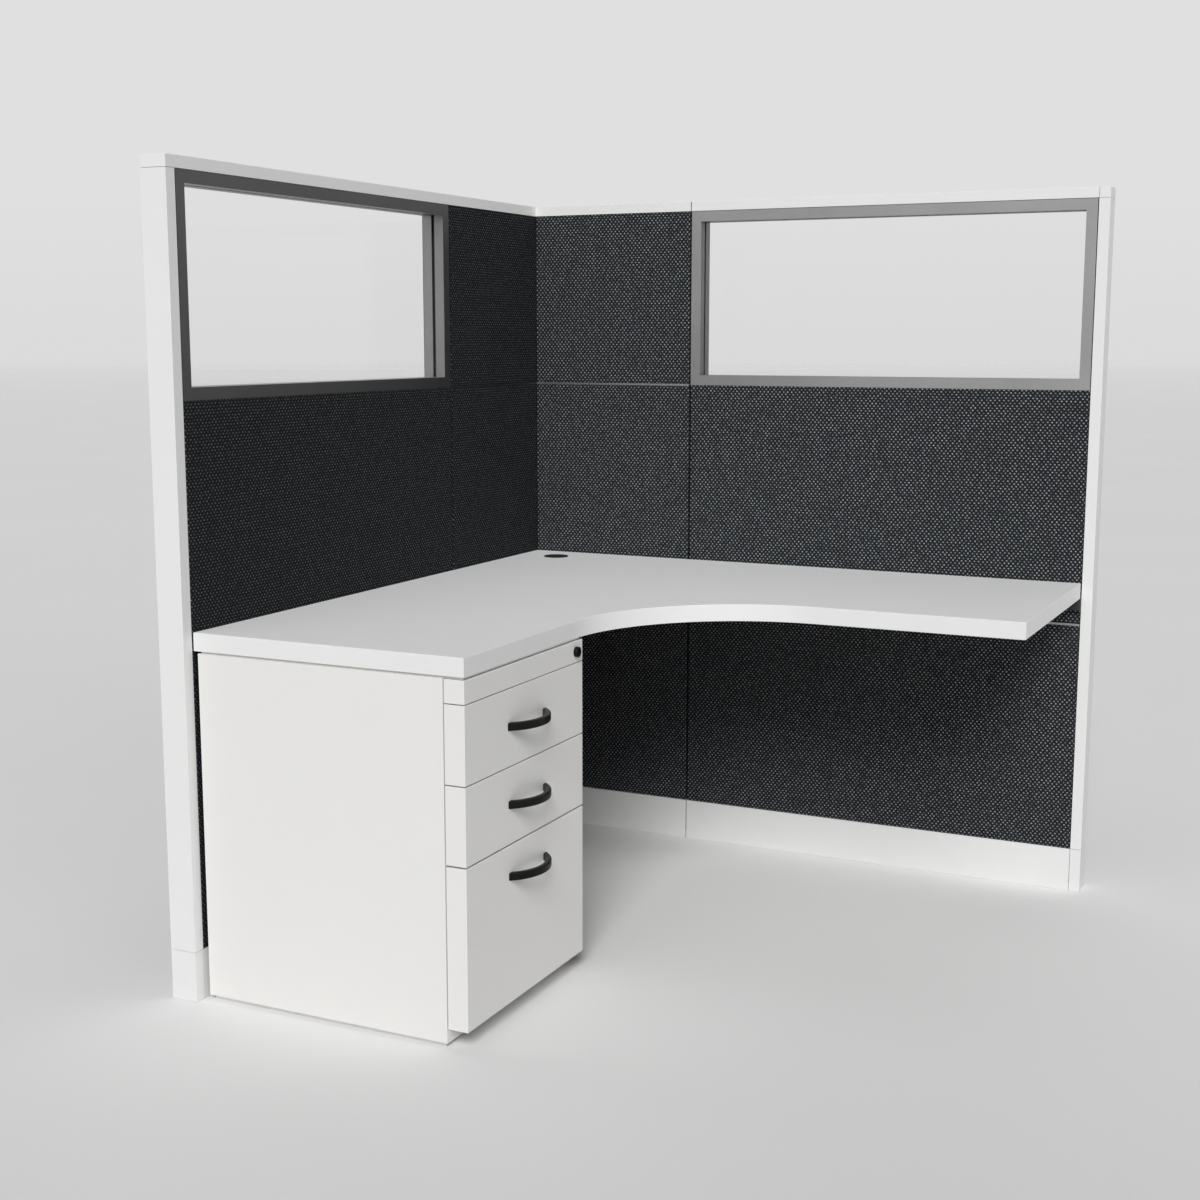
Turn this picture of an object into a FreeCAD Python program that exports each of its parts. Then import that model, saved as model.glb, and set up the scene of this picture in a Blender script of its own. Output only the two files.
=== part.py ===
"""Cubicle workstation: two panel walls in an L, a corner worksurface with a cove, and a drawer pedestal.

Everything is laid out in millimetres from the inside corner of the two walls at floor level: the back
wall runs along +X, the left wall along -Y, and the room is at +X, -Y. Each wall piece is drawn once on the
back wall, where x runs along the wall, y into its thickness (0 is the room side) and z up, and the left
wall is its mirror image. On export everything is moved so that the row frame's origin is the centre of the
square footprint, on the floor.
"""
import FreeCAD
import Part
import math
import os

from FreeCAD import Vector

# Walls as a whole
wall_height = 1651.0
wall_thickness = 60.0
corner_panel_width = 442.0
main_panel_width = 997.0
end_trim_width = 25.0
top_cap_height = 24.0
base_height = 103.0
lower_joint_height = 647.0
upper_joint_height = 1194.0
cut_overrun = 5.0
same_place = 0.001

# Panel frames of welded steel tube
tile_thickness = 14.0
upright_width = 20.0
tube_wall = 2.0
rail_height = 20.0
frame_foot_height = 15.0
hook_cell_depth = 6.0
slot_pitch = 25.4
slot_height = 14.0
slot_end_margin = 30.0

# Tie bolts that join the frames to each other and to the corner post
tie_bolt_count = 3
tie_bolt_radius = 3.0
tie_bolt_hole_clearance = 0.2
tie_bolt_head_radius = 5.5
tie_bolt_head_thickness = 5.0

# Corner post and its outside cover
post_size = 50.0
post_foot_plate = 3.0
cover_sheet = 2.0

# Fabric tiles and the clips behind them
joint_reveal = 2.5
trim_reveal = 2.0
corner_reveal = 0.5
tile_gap = 6.0
seat_reveal = 1.2
tile_edge_radius = 2.5
clip_sheet = 1.5
clip_width = 18.0
clip_height = 30.0
clip_leg = 12.0
clip_inset = 60.0
clip_side_gap = 0.5

# Aluminium strips between the tiles of a panel
strip_side_gap = 0.5
strip_setback = 1.0
strip_head = 1.5
strip_web = 2.0

# Glazed tiles: mitred aluminium rings either side of one pane
window_face_width = 25.0
window_face_thickness = 3.0
window_liner = 2.0
glass_thickness = 6.0
gasket_width = 10.0
gasket_band = 4.0
gasket_setback = 1.0
glass_bite = 2.5

# Caps, end trims and base covers
cap_wall = 2.0
cap_joint_gap = 2.4
cap_end_gap = 1.0
cap_edge_radius = 1.0
cap_rib_spacing = 18.0
cap_tongue_clearance = 0.3
trim_seam = 0.8
cover_floor_gap = 0.5
base_joint_gap = 2.0
base_end_gap = 1.0

# Levelling glides under the frames and the post
glide_foot_radius = 18.0
glide_foot_height = 8.0
glide_foot_edge = 2.0
glide_stem_radius = 5.0
glide_stem_clearance = 0.3
glide_nut_radius = 9.0
glide_nut_height = 5.0
glide_stem_reach = 16.0
glide_inset = 70.0

# Worksurface
worksurface_height = 746.6
worksurface_thickness = 37.0
worksurface_depth = 608.6
worksurface_end_gap = 3.0
cove_radius = 381.0
wall_gap = 1.5
laminate_thickness = 1.0
edge_band_thickness = 2.0
edge_band_radius = 1.2

# Cable grommet in the back corner of the worksurface
grommet_offset_x = 109.0
grommet_offset_y = 100.0
grommet_flange_radius = 31.5
grommet_flange_height = 1.6
grommet_sleeve_radius = 30.0
grommet_sleeve_wall = 2.5
grommet_sleeve_depth = 24.0
grommet_hole_clearance = 0.4
grommet_ledge_width = 2.0
grommet_ledge_depth = 1.4
grommet_cap_clearance = 0.3
grommet_skirt_depth = 6.0
grommet_skirt_wall = 2.0
cable_notch_width = 14.0
cable_notch_depth = 10.0

# Worksurface brackets and screws
bracket_sheet = 3.0
bracket_reach = 415.0
bracket_root_height = 97.0
bracket_tip_height = 18.0
bracket_nose = 60.0
bracket_flange_width = 40.0
bracket_wall_gap = 2.0
hook_height = 8.0
hook_lip = 5.0
hook_depth = 3.0
hook_clearance = 0.2
hook_margin = 8.0
end_bracket_height = 26.0
end_bracket_width = 30.0
end_bracket_sheet = 2.0
end_bracket_setback = 34.0
end_blade_thickness = 1.5
end_blade_margin = 0.25
end_blade_reach = 12.0
screw_radius = 2.0
screw_clearance = 0.1
screw_length = 22.0
screw_head_radius = 4.5
screw_head_height = 2.2
screws_per_bracket = 3
screw_line_offset = 10.0

# Pedestal case
board = 18.0
pedestal_width = 480.0
pedestal_wall_gap = 11.0
pedestal_top_gap = 4.1
spacer_width = 30.0
spacer_setback = 5.0
pedestal_lift = 9.0
toe_height = 31.0
plinth_setback = 8.0
plinth_board = 9.0
plinth_floor_gap = 0.5
front_gap = 2.0
front_thickness = 43.0
rail_top_drop = 1.0
rail_reveal = 2.0
drawer_reveal = 2.5
file_reveal = 3.6
file_front_lap = 2.5
front_edge_radius = 1.0
pedestal_foot_radius = 15.0
pedestal_foot_height = 7.0
pedestal_foot_edge = 1.5
pedestal_stem_radius = 4.0
pedestal_stem_bite = 13.0
pedestal_nut_radius = 7.5
pedestal_nut_height = 5.0
pedestal_glide_inset = 45.0
stem_clearance = 0.1

# Fronts from the top down
lock_rail_height = 44.5
top_front_height = 150.0
middle_front_height = 150.0

# Drawer boxes
box_board = 12.0
box_bottom = 6.0
box_back_gap = 46.6
box_rise = 14.0
file_box_rise = 27.0
small_box_height = 100.0
file_box_top_gap = 50.0
file_bar_sheet = 3.0
file_bar_height = 22.0
file_bar_bite = 8.0

# Drawer slides: three nested steel members on each side of each drawer
slide_space = 12.7
slide_height = 45.0
slide_sheet = 1.5
slide_running_gap = 0.4
slide_front_setback = 24.0
slide_rear_setback = 4.0
slide_rise = 22.0
file_slide_rise = 90.0
middle_member_web = 4.5
drawer_member_flange = 6.5

# Handles
handle_arc_radius = 98.5
handle_projection = 39.1
handle_height = 16.0
handle_thickness = 11.5
handle_edge_radius = 3.2
handle_drop = 72.5
file_handle_drop = 60.9
handle_bolt_inset = 10.0
handle_bolt_radius = 2.0
handle_bolt_clearance = 0.2
handle_bolt_bite = 5.0
handle_bolt_grip = 12.0
handle_bolt_head_radius = 4.0
handle_bolt_head_height = 3.0
handle_counterbore_radius = 5.5

# Lock: barrel and plug in the top rail, crank pin in the slot of a vertical bar that holds all three drawers
lock_inset = 30.0
lock_barrel_radius = 8.5
lock_barrel_clearance = 0.2
lock_bezel_radius = 10.9
lock_bezel_reach = 7.5
lock_bezel_edge = 1.2
lock_barrel_depth = 21.0
lock_plug_radius = 6.0
lock_plug_clearance = 0.3
keyway_width = 1.8
keyway_height = 8.0
keyway_depth = 4.0
crank_radius = 7.0
crank_disc_radius = 9.5
crank_disc_thickness = 3.0
crank_disc_gap = 0.5
crank_pin_radius = 1.5
crank_pin_length = 6.0
crank_half_turn_deg = 45.0
lock_pocket_wall = 5.5
lock_pocket_depth = 33.0
lock_pocket_near = 15.0
lock_pocket_far = 19.0
lock_bar_sheet = 2.0
lock_bar_width = 16.0
lock_bar_setback = 2.0
lock_bar_side_gap = 0.3
lock_bar_floor_gap = 20.0
lock_arm_height = 12.0
lock_tab_width = 25.0
lock_slot_clearance = 0.4
lock_slot_length = 8.0
catch_pin_radius = 2.5
catch_pin_rise = 55.0
catch_clearance = 1.0
catch_tip_gap = 0.7
cleat_width = 400.0
cleat_depth = 30.0
cleat_height = 12.0
lock_notch_margin = 3.0

# Places worked out from the sizes above
leg_length = corner_panel_width + main_panel_width + end_trim_width
cap_seat = wall_height - top_cap_height
frame_front = tile_thickness
frame_back = wall_thickness - tile_thickness
mid_wall = wall_thickness / 2
main_start = corner_panel_width
main_end = corner_panel_width + main_panel_width
board_underside = worksurface_height - worksurface_thickness
web_top = board_underside - bracket_sheet
worksurface_reach = main_end - worksurface_end_gap
hook_seat = web_top - bracket_root_height + hook_margin
pedestal_near = -worksurface_reach
pedestal_far = pedestal_near + pedestal_width
pedestal_back_x = pedestal_wall_gap
fronts_back_x = worksurface_depth - front_thickness
case_front_x = fronts_back_x - front_gap
case_top = board_underside - pedestal_top_gap
inner_near = pedestal_near + board
inner_far = pedestal_far - board
row_shift = Vector((wall_thickness - leg_length) / 2, (leg_length - wall_thickness) / 2, 0)

X, Y, Z = Vector(1, 0, 0), Vector(0, 1, 0), Vector(0, 0, 1)


def block(x0, x1, y0, y1, z0, z1):
    """A box between two x, two y and two z values."""
    return Part.makeBox(x1 - x0, y1 - y0, z1 - z0, Vector(x0, y0, z0))


def rod(radius, start, axis, length):
    """A cylinder from a start point along an axis."""
    return Part.makeCylinder(radius, length, start, axis)


def slab(points, direction):
    """A prism: a flat outline of (x, y, z) corners pushed along a vector."""
    corners = [Vector(*p) for p in points]
    return Part.Face(Part.makePolygon(corners + corners[:1])).extrude(direction)


def outline(points):
    """A closed wire through corners, each a point, or a pair of (middle of an arc, end of the arc)."""
    edges = []
    here = points[0]
    for step in points[1:] + points[:1]:
        if isinstance(step, tuple):
            through, end = step
            edges.append(Part.Arc(here, through, end).toShape())
        else:
            end = step
            edges.append(Part.LineSegment(here, end).toShape())
        here = end
    return Part.Wire(edges)


def rounded(shape, radius, wanted):
    """The shape with a fillet on each edge that wanted() picks, by the edge's bounding box."""
    edges = [e for e in shape.Edges if wanted(e.BoundBox)]
    return shape.makeFillet(radius, edges) if edges else shape


def one(shape):
    """The only solid of a boolean result, without seams between coplanar faces."""
    return shape.removeSplitter().Solids[0]


def near(a, b):
    """Whether two places are the same, but for rounding."""
    return abs(a - b) < same_place


def on_left(shape):
    """A piece drawn on the back wall, mirrored on to the left wall."""
    return shape.mirror(Vector(0, 0, 0), Vector(1, 1, 0))


def both_walls(shapes):
    """Pieces of the back wall, and their mirror images on the left wall."""
    return list(shapes) + [on_left(s) for s in shapes]


def mirrored_in_wall(shape):
    """A piece of the room side of the back wall, mirrored to the wall's outer side."""
    return shape.mirror(Vector(0, mid_wall, 0), Y)


written = {}


def write(name, shapes):
    """Moves a sub-part's solids into the row frame and writes them as parts/NAME.step."""
    solids = [s for shape in shapes for s in shape.Solids]
    part = Part.makeCompound([s.translated(row_shift) for s in solids])
    part.exportStep(os.path.join("parts", name + ".step"))
    written[name] = part


# Panel frames: slotted uprights, cross rails, all square tube
def slot_bottoms():
    """Heights of the hook slots, in step with the hooks of the worksurface brackets."""
    low = base_height + slot_end_margin
    high = cap_seat - slot_end_margin - slot_height
    first = math.ceil((low - hook_seat) / slot_pitch)
    last = math.floor((high - hook_seat) / slot_pitch)
    return [hook_seat + slot_pitch * k for k in range(first, last + 1)]


def upright(joint_x, inward, slotted):
    """One upright whose joint face is at joint_x. inward is +1 or -1, the way to the panel's middle."""
    far_x = joint_x + inward * upright_width
    body = block(min(joint_x, far_x), max(joint_x, far_x), frame_front, frame_back, frame_foot_height,
                 cap_seat)
    inner = far_x - inward * tube_wall
    mouth = joint_x - inward * cut_overrun if slotted else joint_x + inward * tube_wall
    hollow_low, hollow_high = frame_foot_height - cut_overrun, cap_seat + cut_overrun
    cells = []
    for y0 in (frame_front + tube_wall, frame_back - tube_wall - hook_cell_depth):
        cells.append(block(min(mouth, inner), max(mouth, inner), y0, y0 + hook_cell_depth, hollow_low,
                           hollow_high))
    closed = joint_x + inward * tube_wall
    web = 2 * tube_wall + hook_cell_depth
    cells.append(block(min(closed, inner), max(closed, inner), frame_front + web, frame_back - web,
                       hollow_low, hollow_high))
    if slotted:
        lip = joint_x + inward * tube_wall
        for z in slot_bottoms():
            for y0, y1 in ((frame_front - cut_overrun, frame_front + tube_wall + hook_cell_depth / 2),
                           (frame_back - tube_wall - hook_cell_depth / 2, frame_back + cut_overrun)):
                cells.append(block(min(mouth, lip), max(mouth, lip), y0, y1, z, z + slot_height))
    for z in tie_bolt_heights():
        hole = rod(tie_bolt_radius + tie_bolt_hole_clearance,
                   Vector(closed + inward * tube_wall, mid_wall, z),
                   X * -inward, 2 * tube_wall + cut_overrun)
        cells.append(hole)
    return body.cut(Part.makeCompound(cells)).Solids[0]


def tie_bolt_heights():
    span = cap_seat - base_height
    return [base_height + span * (k + 0.5) / tie_bolt_count for k in range(tie_bolt_count)]


def glide_places(x0, x1):
    return [x0 + glide_inset, x1 - glide_inset]


def cross_rail(x0, x1, z0):
    """A rail of square tube between the uprights, open at both ends."""
    a, b = x0 + upright_width, x1 - upright_width
    tube = block(a, b, frame_front, frame_back, z0, z0 + rail_height)
    hollow = block(a - cut_overrun, b + cut_overrun, frame_front + tube_wall, frame_back - tube_wall,
                   z0 + tube_wall, z0 + rail_height - tube_wall)
    return tube.cut(hollow).Solids[0]


def panel_frame(x0, x1, slotted_start):
    """Two uprights and five rails. The floor rail carries the glides."""
    floor_rail = cross_rail(x0, x1, frame_foot_height)
    for x in glide_places(x0, x1):
        hole = rod(glide_stem_radius + glide_stem_clearance,
                   Vector(x, mid_wall, frame_foot_height - cut_overrun),
                   Z, cut_overrun + 2 * tube_wall)
        floor_rail = floor_rail.cut(hole)
    heights = [base_height - rail_height, lower_joint_height - rail_height / 2,
               upper_joint_height - rail_height / 2, cap_seat - rail_height]
    rails = [cross_rail(x0, x1, z) for z in heights]
    return [upright(x0, 1, slotted_start), upright(x1, -1, True), floor_rail] + rails


# Corner post: one square tube with a foot plate, a folded cover on its two outer sides
def corner_post():
    tube = block(-post_size, 0, 0, post_size, frame_foot_height, cap_seat)
    hollow = block(-post_size + tube_wall, -tube_wall, tube_wall, post_size - tube_wall,
                   frame_foot_height + post_foot_plate, cap_seat + cut_overrun)
    foot_hole = rod(glide_stem_radius + glide_stem_clearance,
                    Vector(-post_size / 2, post_size / 2, frame_foot_height - cut_overrun), Z,
                    2 * cut_overrun + post_foot_plate)
    holes = [foot_hole]
    for z in tie_bolt_heights():
        hole_radius = tie_bolt_radius + tie_bolt_hole_clearance
        holes.append(rod(hole_radius, Vector(-2 * tube_wall, mid_wall, z), X, 2 * tube_wall + cut_overrun))
        holes.append(rod(hole_radius, Vector(-mid_wall, 2 * tube_wall, z), -Y, 2 * tube_wall + cut_overrun))
    return tube.cut(Part.makeCompound([hollow] + holes)).Solids[0]


def corner_cover(z0, z1):
    """The folded sheet on the post's two outer sides, with a lip turned in at each end."""
    t, w = cover_sheet, wall_thickness
    lip = w - post_size
    corners = [(-w, 0), (-w, w), (0, w), (0, w - lip), (-t, w - lip), (-t, w - t), (-w + t, w - t),
               (-w + t, t),
               (-w + lip, t), (-w + lip, 0)]
    return slab([(x, y, z0) for x, y in corners], Z * (z1 - z0))


# Caps and trims are one shell shape: a channel with two inner ribs that reach the frame
def channel_section(width, depth, wall):
    """Corners (across, up) of an upturned channel with two ribs, its mouth at 0 and its top at depth."""
    ribs = [width / 2 - cap_rib_spacing / 2, width / 2 + cap_rib_spacing / 2]
    corners = [(0, 0), (0, depth), (width, depth), (width, 0), (width - wall, 0),
               (width - wall, depth - wall)]
    for rib in reversed(ribs):
        corners += [(rib + wall / 2, depth - wall), (rib + wall / 2, 0), (rib - wall / 2, 0),
                    (rib - wall / 2, depth - wall)]
    return corners + [(wall, depth - wall), (wall, 0)]


def top_cap(x0, x1, start_gap, end_gap):
    a, b = x0 + start_gap / 2, x1 - end_gap / 2
    section = channel_section(wall_thickness, top_cap_height, cap_wall)
    cap = slab([(a, y, cap_seat + z) for y, z in section], X * (b - a))
    return rounded(cap, cap_edge_radius, lambda e: near(e.ZMin, wall_height) and e.XLength > wall_thickness)


def end_trim(z0, z1):
    section = channel_section(wall_thickness, end_trim_width, cap_wall)
    return slab([(main_end + depth, y, z0) for y, depth in section], Z * (z1 - z0))


def tall_end_trim():
    """The trim over the base, a seam short at both ends, its ribs run on inside the cap that they carry."""
    shell = end_trim(base_height + trim_seam, cap_seat - trim_seam)
    x0 = main_end + cap_end_gap / 2 + cap_wall + cap_tongue_clearance
    x1 = leg_length - cap_wall - cap_tongue_clearance
    tongues = []
    for side in (-1, 1):
        rib = mid_wall + side * cap_rib_spacing / 2
        tongues.append(block(x0, x1, rib - cap_wall / 2, rib + cap_wall / 2, cap_seat - trim_seam,
                             wall_height - cap_wall))
    return one(shell.fuse(tongues))


def lid(x0, x1, y0, y1):
    """A cap over one post or trim: a shallow shell open downwards."""
    shell = block(x0, x1, y0, y1, cap_seat, wall_height)
    top = rounded(shell, cap_edge_radius, lambda e: near(e.ZMin, wall_height))
    hollow = block(x0 + cap_wall, x1 - cap_wall, y0 + cap_wall, y1 - cap_wall, cap_seat - cut_overrun,
                   wall_height - cap_wall)
    return top.cut(hollow).Solids[0]


def base_cover(x0, x1, start_gap, end_gap):
    """A folded base cover on the room side: a plate with two flanges that reach the frame's rails."""
    a, b = x0 + start_gap, x1 - end_gap
    t, z0, z1 = cover_sheet, cover_floor_gap + frame_foot_height, base_height
    bottom = cover_floor_gap
    deep = tile_thickness
    corners = [(0, bottom), (0, z1), (deep, z1), (deep, z1 - t), (t, z1 - t), (t, z0 + t), (deep, z0 + t),
               (deep, z0), (t, z0), (t, bottom)]
    return slab([(a, y, z) for y, z in corners], X * (b - a))


# Fabric tiles
def tile(x0, x1, z0, z1, start_gap, end_gap):
    """One upholstered tile on the room side, its face at y 0 and its back on the frame."""
    shape = block(x0 + start_gap, x1 - end_gap, 0, tile_thickness, z0, z1)
    return rounded(shape, tile_edge_radius, lambda e: near(e.YMin, 0) and near(e.YMax, 0))


def tile_levels(top_is_glazed):
    """Bottom and top of each tile in a panel."""
    half = tile_gap / 2
    levels = [(base_height + seat_reveal, lower_joint_height - half),
              (lower_joint_height + half, upper_joint_height - (0 if top_is_glazed else half))]
    if not top_is_glazed:
        levels.append((upper_joint_height + half, cap_seat - seat_reveal))
    return levels


def clips_behind(x0, x1, z0, z1):
    """Four angle clips on the back of a tile, each hugging the inner side of an upright."""
    made = []
    for edge, inward in ((x0 + upright_width, 1), (x1 - upright_width, -1)):
        a = edge + inward * clip_side_gap
        plate_end, leg_end = a + inward * clip_width, a + inward * clip_sheet
        for z in (z0 + clip_inset, z1 - clip_inset - clip_height):
            plate = block(min(a, plate_end), max(a, plate_end), frame_front, frame_front + clip_sheet,
                          z, z + clip_height)
            leg = block(min(a, leg_end), max(a, leg_end), frame_front, frame_front + clip_leg, z,
                        z + clip_height)
            made.append(one(plate.fuse(leg)))
    return made


def joint_strip(x0, x1, z, start_gap, end_gap):
    """A T-shaped strip between two tiles, its head just behind their faces and its web against the rail."""
    half, web = tile_gap / 2 - strip_side_gap, strip_web / 2
    back = strip_setback + strip_head
    section = [(strip_setback, -half), (strip_setback, half), (back, half), (back, web),
               (tile_thickness, web), (tile_thickness, -web), (back, -web), (back, -half)]
    a, b = x0 + start_gap, x1 - end_gap
    return slab([(a, y, z + up) for y, up in section], X * (b - a))


# Glazed tile of the main panel
window_x0 = main_start + joint_reveal
window_x1 = main_end - trim_reveal
window_z0 = upper_joint_height
window_z1 = cap_seat - seat_reveal


def window_block(inset, y0, y1):
    return block(window_x0 + inset, window_x1 - inset, y0, y1, window_z0 + inset, window_z1 - inset)


def window_ring():
    """The ring on the room side: a face, a liner to the glass, and an outer return to the frame."""
    deep = mid_wall - gasket_width / 2
    ring = window_block(0, 0, deep).cut(window_block(window_face_width, -cut_overrun, deep + cut_overrun))
    liner_inset = window_face_width - window_liner
    channel = window_block(window_liner, window_face_thickness, deep + cut_overrun)
    channel = channel.cut(window_block(liner_inset, 0, deep + cut_overrun))
    edge = window_block(-cut_overrun, tile_thickness, deep + cut_overrun)
    edge = edge.cut(window_block(window_liner, 0, deep + 2 * cut_overrun))
    return ring.cut(channel).cut(edge)


def mitred(ring):
    """The ring cut at 45 degrees into its four extruded members."""
    m = window_face_width
    xs, zs = (window_x0, window_x1), (window_z0, window_z1)
    inner_x, inner_z = (xs[0] + m, xs[1] - m), (zs[0] + m, zs[1] - m)
    quads = [
        [(xs[0], zs[0]), (xs[1], zs[0]), (inner_x[1], inner_z[0]), (inner_x[0], inner_z[0])],
        [(xs[1], zs[0]), (xs[1], zs[1]), (inner_x[1], inner_z[1]), (inner_x[1], inner_z[0])],
        [(xs[1], zs[1]), (xs[0], zs[1]), (inner_x[0], inner_z[1]), (inner_x[1], inner_z[1])],
        [(xs[0], zs[1]), (xs[0], zs[0]), (inner_x[0], inner_z[0]), (inner_x[0], inner_z[1])],
    ]
    wedges = [slab([(x, -cut_overrun, z) for x, z in quad], Y * wall_thickness) for quad in quads]
    return [ring.common(wedge).Solids[0] for wedge in wedges]


def glass_pane():
    edge = window_face_width - gasket_setback - glass_bite
    return window_block(edge, mid_wall - glass_thickness / 2, mid_wall + glass_thickness / 2)


def gasket():
    outer = window_face_width - gasket_setback - gasket_band
    inner = window_face_width - gasket_setback
    y0, y1 = mid_wall - gasket_width / 2, mid_wall + gasket_width / 2
    ring = window_block(outer, y0, y1).cut(window_block(inner, y0 - cut_overrun, y1 + cut_overrun))
    return ring.cut(glass_pane()).Solids[0]


# Small turned parts
def tie_bolt(x, y, z, axis, wall_between):
    """A bolt with its nut, centred where two tube walls meet."""
    half = wall_between / 2 + tie_bolt_head_thickness
    start = Vector(x, y, z) - axis * half
    shank = rod(tie_bolt_radius, start, axis, 2 * half)
    head = rod(tie_bolt_head_radius, start, axis, tie_bolt_head_thickness)
    nut = rod(tie_bolt_head_radius, start + axis * (2 * half - tie_bolt_head_thickness), axis,
              tie_bolt_head_thickness)
    return one(shank.fuse([head, nut]))


def levelling_glide(x, y):
    """A foot with its stem, and the jam nut that bears on the rail above."""
    foot = rod(glide_foot_radius, Vector(x, y, 0), Z, glide_foot_height)
    foot = rounded(foot, glide_foot_edge, lambda e: near(e.ZMin, glide_foot_height))
    stem = rod(glide_stem_radius, Vector(x, y, glide_foot_height), Z,
               frame_foot_height - glide_foot_height + glide_stem_reach)
    nut = rod(glide_nut_radius, Vector(x, y, frame_foot_height - glide_nut_height), Z, glide_nut_height)
    return one(foot.fuse([stem, nut]))


def pedestal_glide(x, y):
    """A foot behind the plinth, its stem screwed into the case's base board, with a nut under the board."""
    floor_z = pedestal_lift + toe_height
    foot = rod(pedestal_foot_radius, Vector(x, y, 0), Z, pedestal_foot_height)
    foot = rounded(foot, pedestal_foot_edge, lambda e: near(e.ZMin, pedestal_foot_height))
    stem = rod(pedestal_stem_radius, Vector(x, y, pedestal_foot_height), Z,
               floor_z - pedestal_foot_height + pedestal_stem_bite)
    nut = rod(pedestal_nut_radius, Vector(x, y, floor_z - pedestal_nut_height), Z, pedestal_nut_height)
    return one(foot.fuse([stem, nut]))


# Worksurface
def worksurface_wire(inset, z):
    """The L outline with a quarter-circle cove, taken in by inset all round. bow is the cove's middle."""
    wall_side = wall_gap + inset
    end, depth = worksurface_reach - inset, worksurface_depth - inset
    centre = worksurface_depth + cove_radius
    bow = centre - (cove_radius + inset) * math.cos(math.pi / 4)
    return outline([
        Vector(wall_side, -wall_side, z), Vector(end, -wall_side, z), Vector(end, -depth, z),
        Vector(centre, -depth, z), (Vector(bow, -bow, z), Vector(depth, -centre, z)),
        Vector(depth, -end, z), Vector(wall_side, -end, z),
    ])


def worksurface_slab(inset, z0, z1):
    return Part.Face(worksurface_wire(inset, z0)).extrude(Z * (z1 - z0))


def grommet_hole():
    return rod(grommet_sleeve_radius + grommet_hole_clearance,
               Vector(grommet_offset_x, -grommet_offset_y, board_underside - cut_overrun), Z,
               worksurface_thickness + 2 * cut_overrun)


def edge_band():
    """The band round the board's edge, rounded over at its top and bottom."""
    outer = worksurface_slab(0, board_underside, worksurface_height)
    inner = worksurface_slab(edge_band_thickness, board_underside - cut_overrun,
                             worksurface_height + cut_overrun)
    return rounded(outer, edge_band_radius, lambda e: near(e.ZMin, e.ZMax)).cut(inner).Solids[0]


def grommet_sleeve():
    top = worksurface_height
    bore = grommet_sleeve_radius - grommet_sleeve_wall
    centre = Vector(grommet_offset_x, -grommet_offset_y, top)
    flange = rod(grommet_flange_radius, centre, Z, grommet_flange_height)
    tube = rod(grommet_sleeve_radius, centre - Z * grommet_sleeve_depth, Z, grommet_sleeve_depth)
    seat = rod(bore, centre - Z * grommet_ledge_depth, Z, grommet_ledge_depth + cut_overrun)
    way = rod(bore - grommet_ledge_width, centre - Z * (grommet_sleeve_depth + cut_overrun), Z,
              grommet_sleeve_depth + 2 * cut_overrun)
    return one(flange.fuse(tube).cut(seat).cut(way))


def grommet_cap():
    """A lift-out cap with a skirt and one notch for cables."""
    bore = grommet_sleeve_radius - grommet_sleeve_wall
    disc_radius = bore - grommet_cap_clearance
    skirt_radius = bore - grommet_ledge_width - grommet_cap_clearance
    low = worksurface_height - grommet_ledge_depth + grommet_cap_clearance
    centre = Vector(grommet_offset_x, -grommet_offset_y, low)
    disc = rod(disc_radius, centre, Z, worksurface_height + grommet_flange_height - low)
    skirt = rod(skirt_radius, centre - Z * grommet_skirt_depth, Z, grommet_skirt_depth)
    hollow = rod(skirt_radius - grommet_skirt_wall, centre - Z * (grommet_skirt_depth + cut_overrun), Z,
                 grommet_skirt_depth + cut_overrun)
    rim_y = disc_radius - grommet_offset_y
    notch = block(grommet_offset_x - cable_notch_width / 2, grommet_offset_x + cable_notch_width / 2,
                  rim_y - cable_notch_depth, rim_y + cut_overrun,
                  low - grommet_skirt_depth - cut_overrun, worksurface_height + cut_overrun)
    return one(disc.fuse(skirt).cut(hollow).cut(notch))


# Brackets: steel arms that hook into the slots at the panel joint and carry the worksurface
def hook(x0, x1, z):
    """A tongue through a slot, with a lip that hangs behind the upright's face."""
    back = frame_front + tube_wall + hook_clearance
    tongue = block(x0, x1, frame_front, back + hook_depth, z, z + hook_height)
    lip = block(x0, x1, back, back + hook_depth, z - hook_lip, z + hook_height)
    return [tongue, lip]


def bracket_screw_places():
    """Distances from the wall of the screws along a bracket."""
    span = bracket_reach - bracket_nose
    return [-(bracket_nose + span * k / screws_per_bracket) for k in range(screws_per_bracket)]


def cantilever_bracket():
    x0, x1 = main_start - bracket_sheet / 2, main_start + bracket_sheet / 2
    low = web_top - bracket_root_height
    web = slab([(x0, frame_front, web_top), (x0, -bracket_reach, web_top),
                (x0, -bracket_reach, web_top - bracket_tip_height), (x0, -bracket_nose, low),
                (x0, frame_front, low)], X * bracket_sheet)
    flange = block(main_start - bracket_flange_width / 2, main_start + bracket_flange_width / 2,
                   -bracket_reach, -bracket_wall_gap, web_top, board_underside)
    hooks = []
    for k in range(screws_per_bracket):
        hooks += hook(x0, x1, hook_seat + slot_pitch * k)
    shape = one(web.fuse([flange] + hooks))
    holes = [rod(screw_radius + screw_clearance,
                 Vector(main_start + screw_line_offset, y, web_top - cut_overrun),
                 Z, bracket_sheet + 2 * cut_overrun) for y in bracket_screw_places()]
    return shape.cut(Part.makeCompound(holes)).Solids[0]


def end_screw_x():
    return worksurface_reach - end_bracket_setback - end_bracket_width / 2 - end_bracket_sheet / 2


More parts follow.
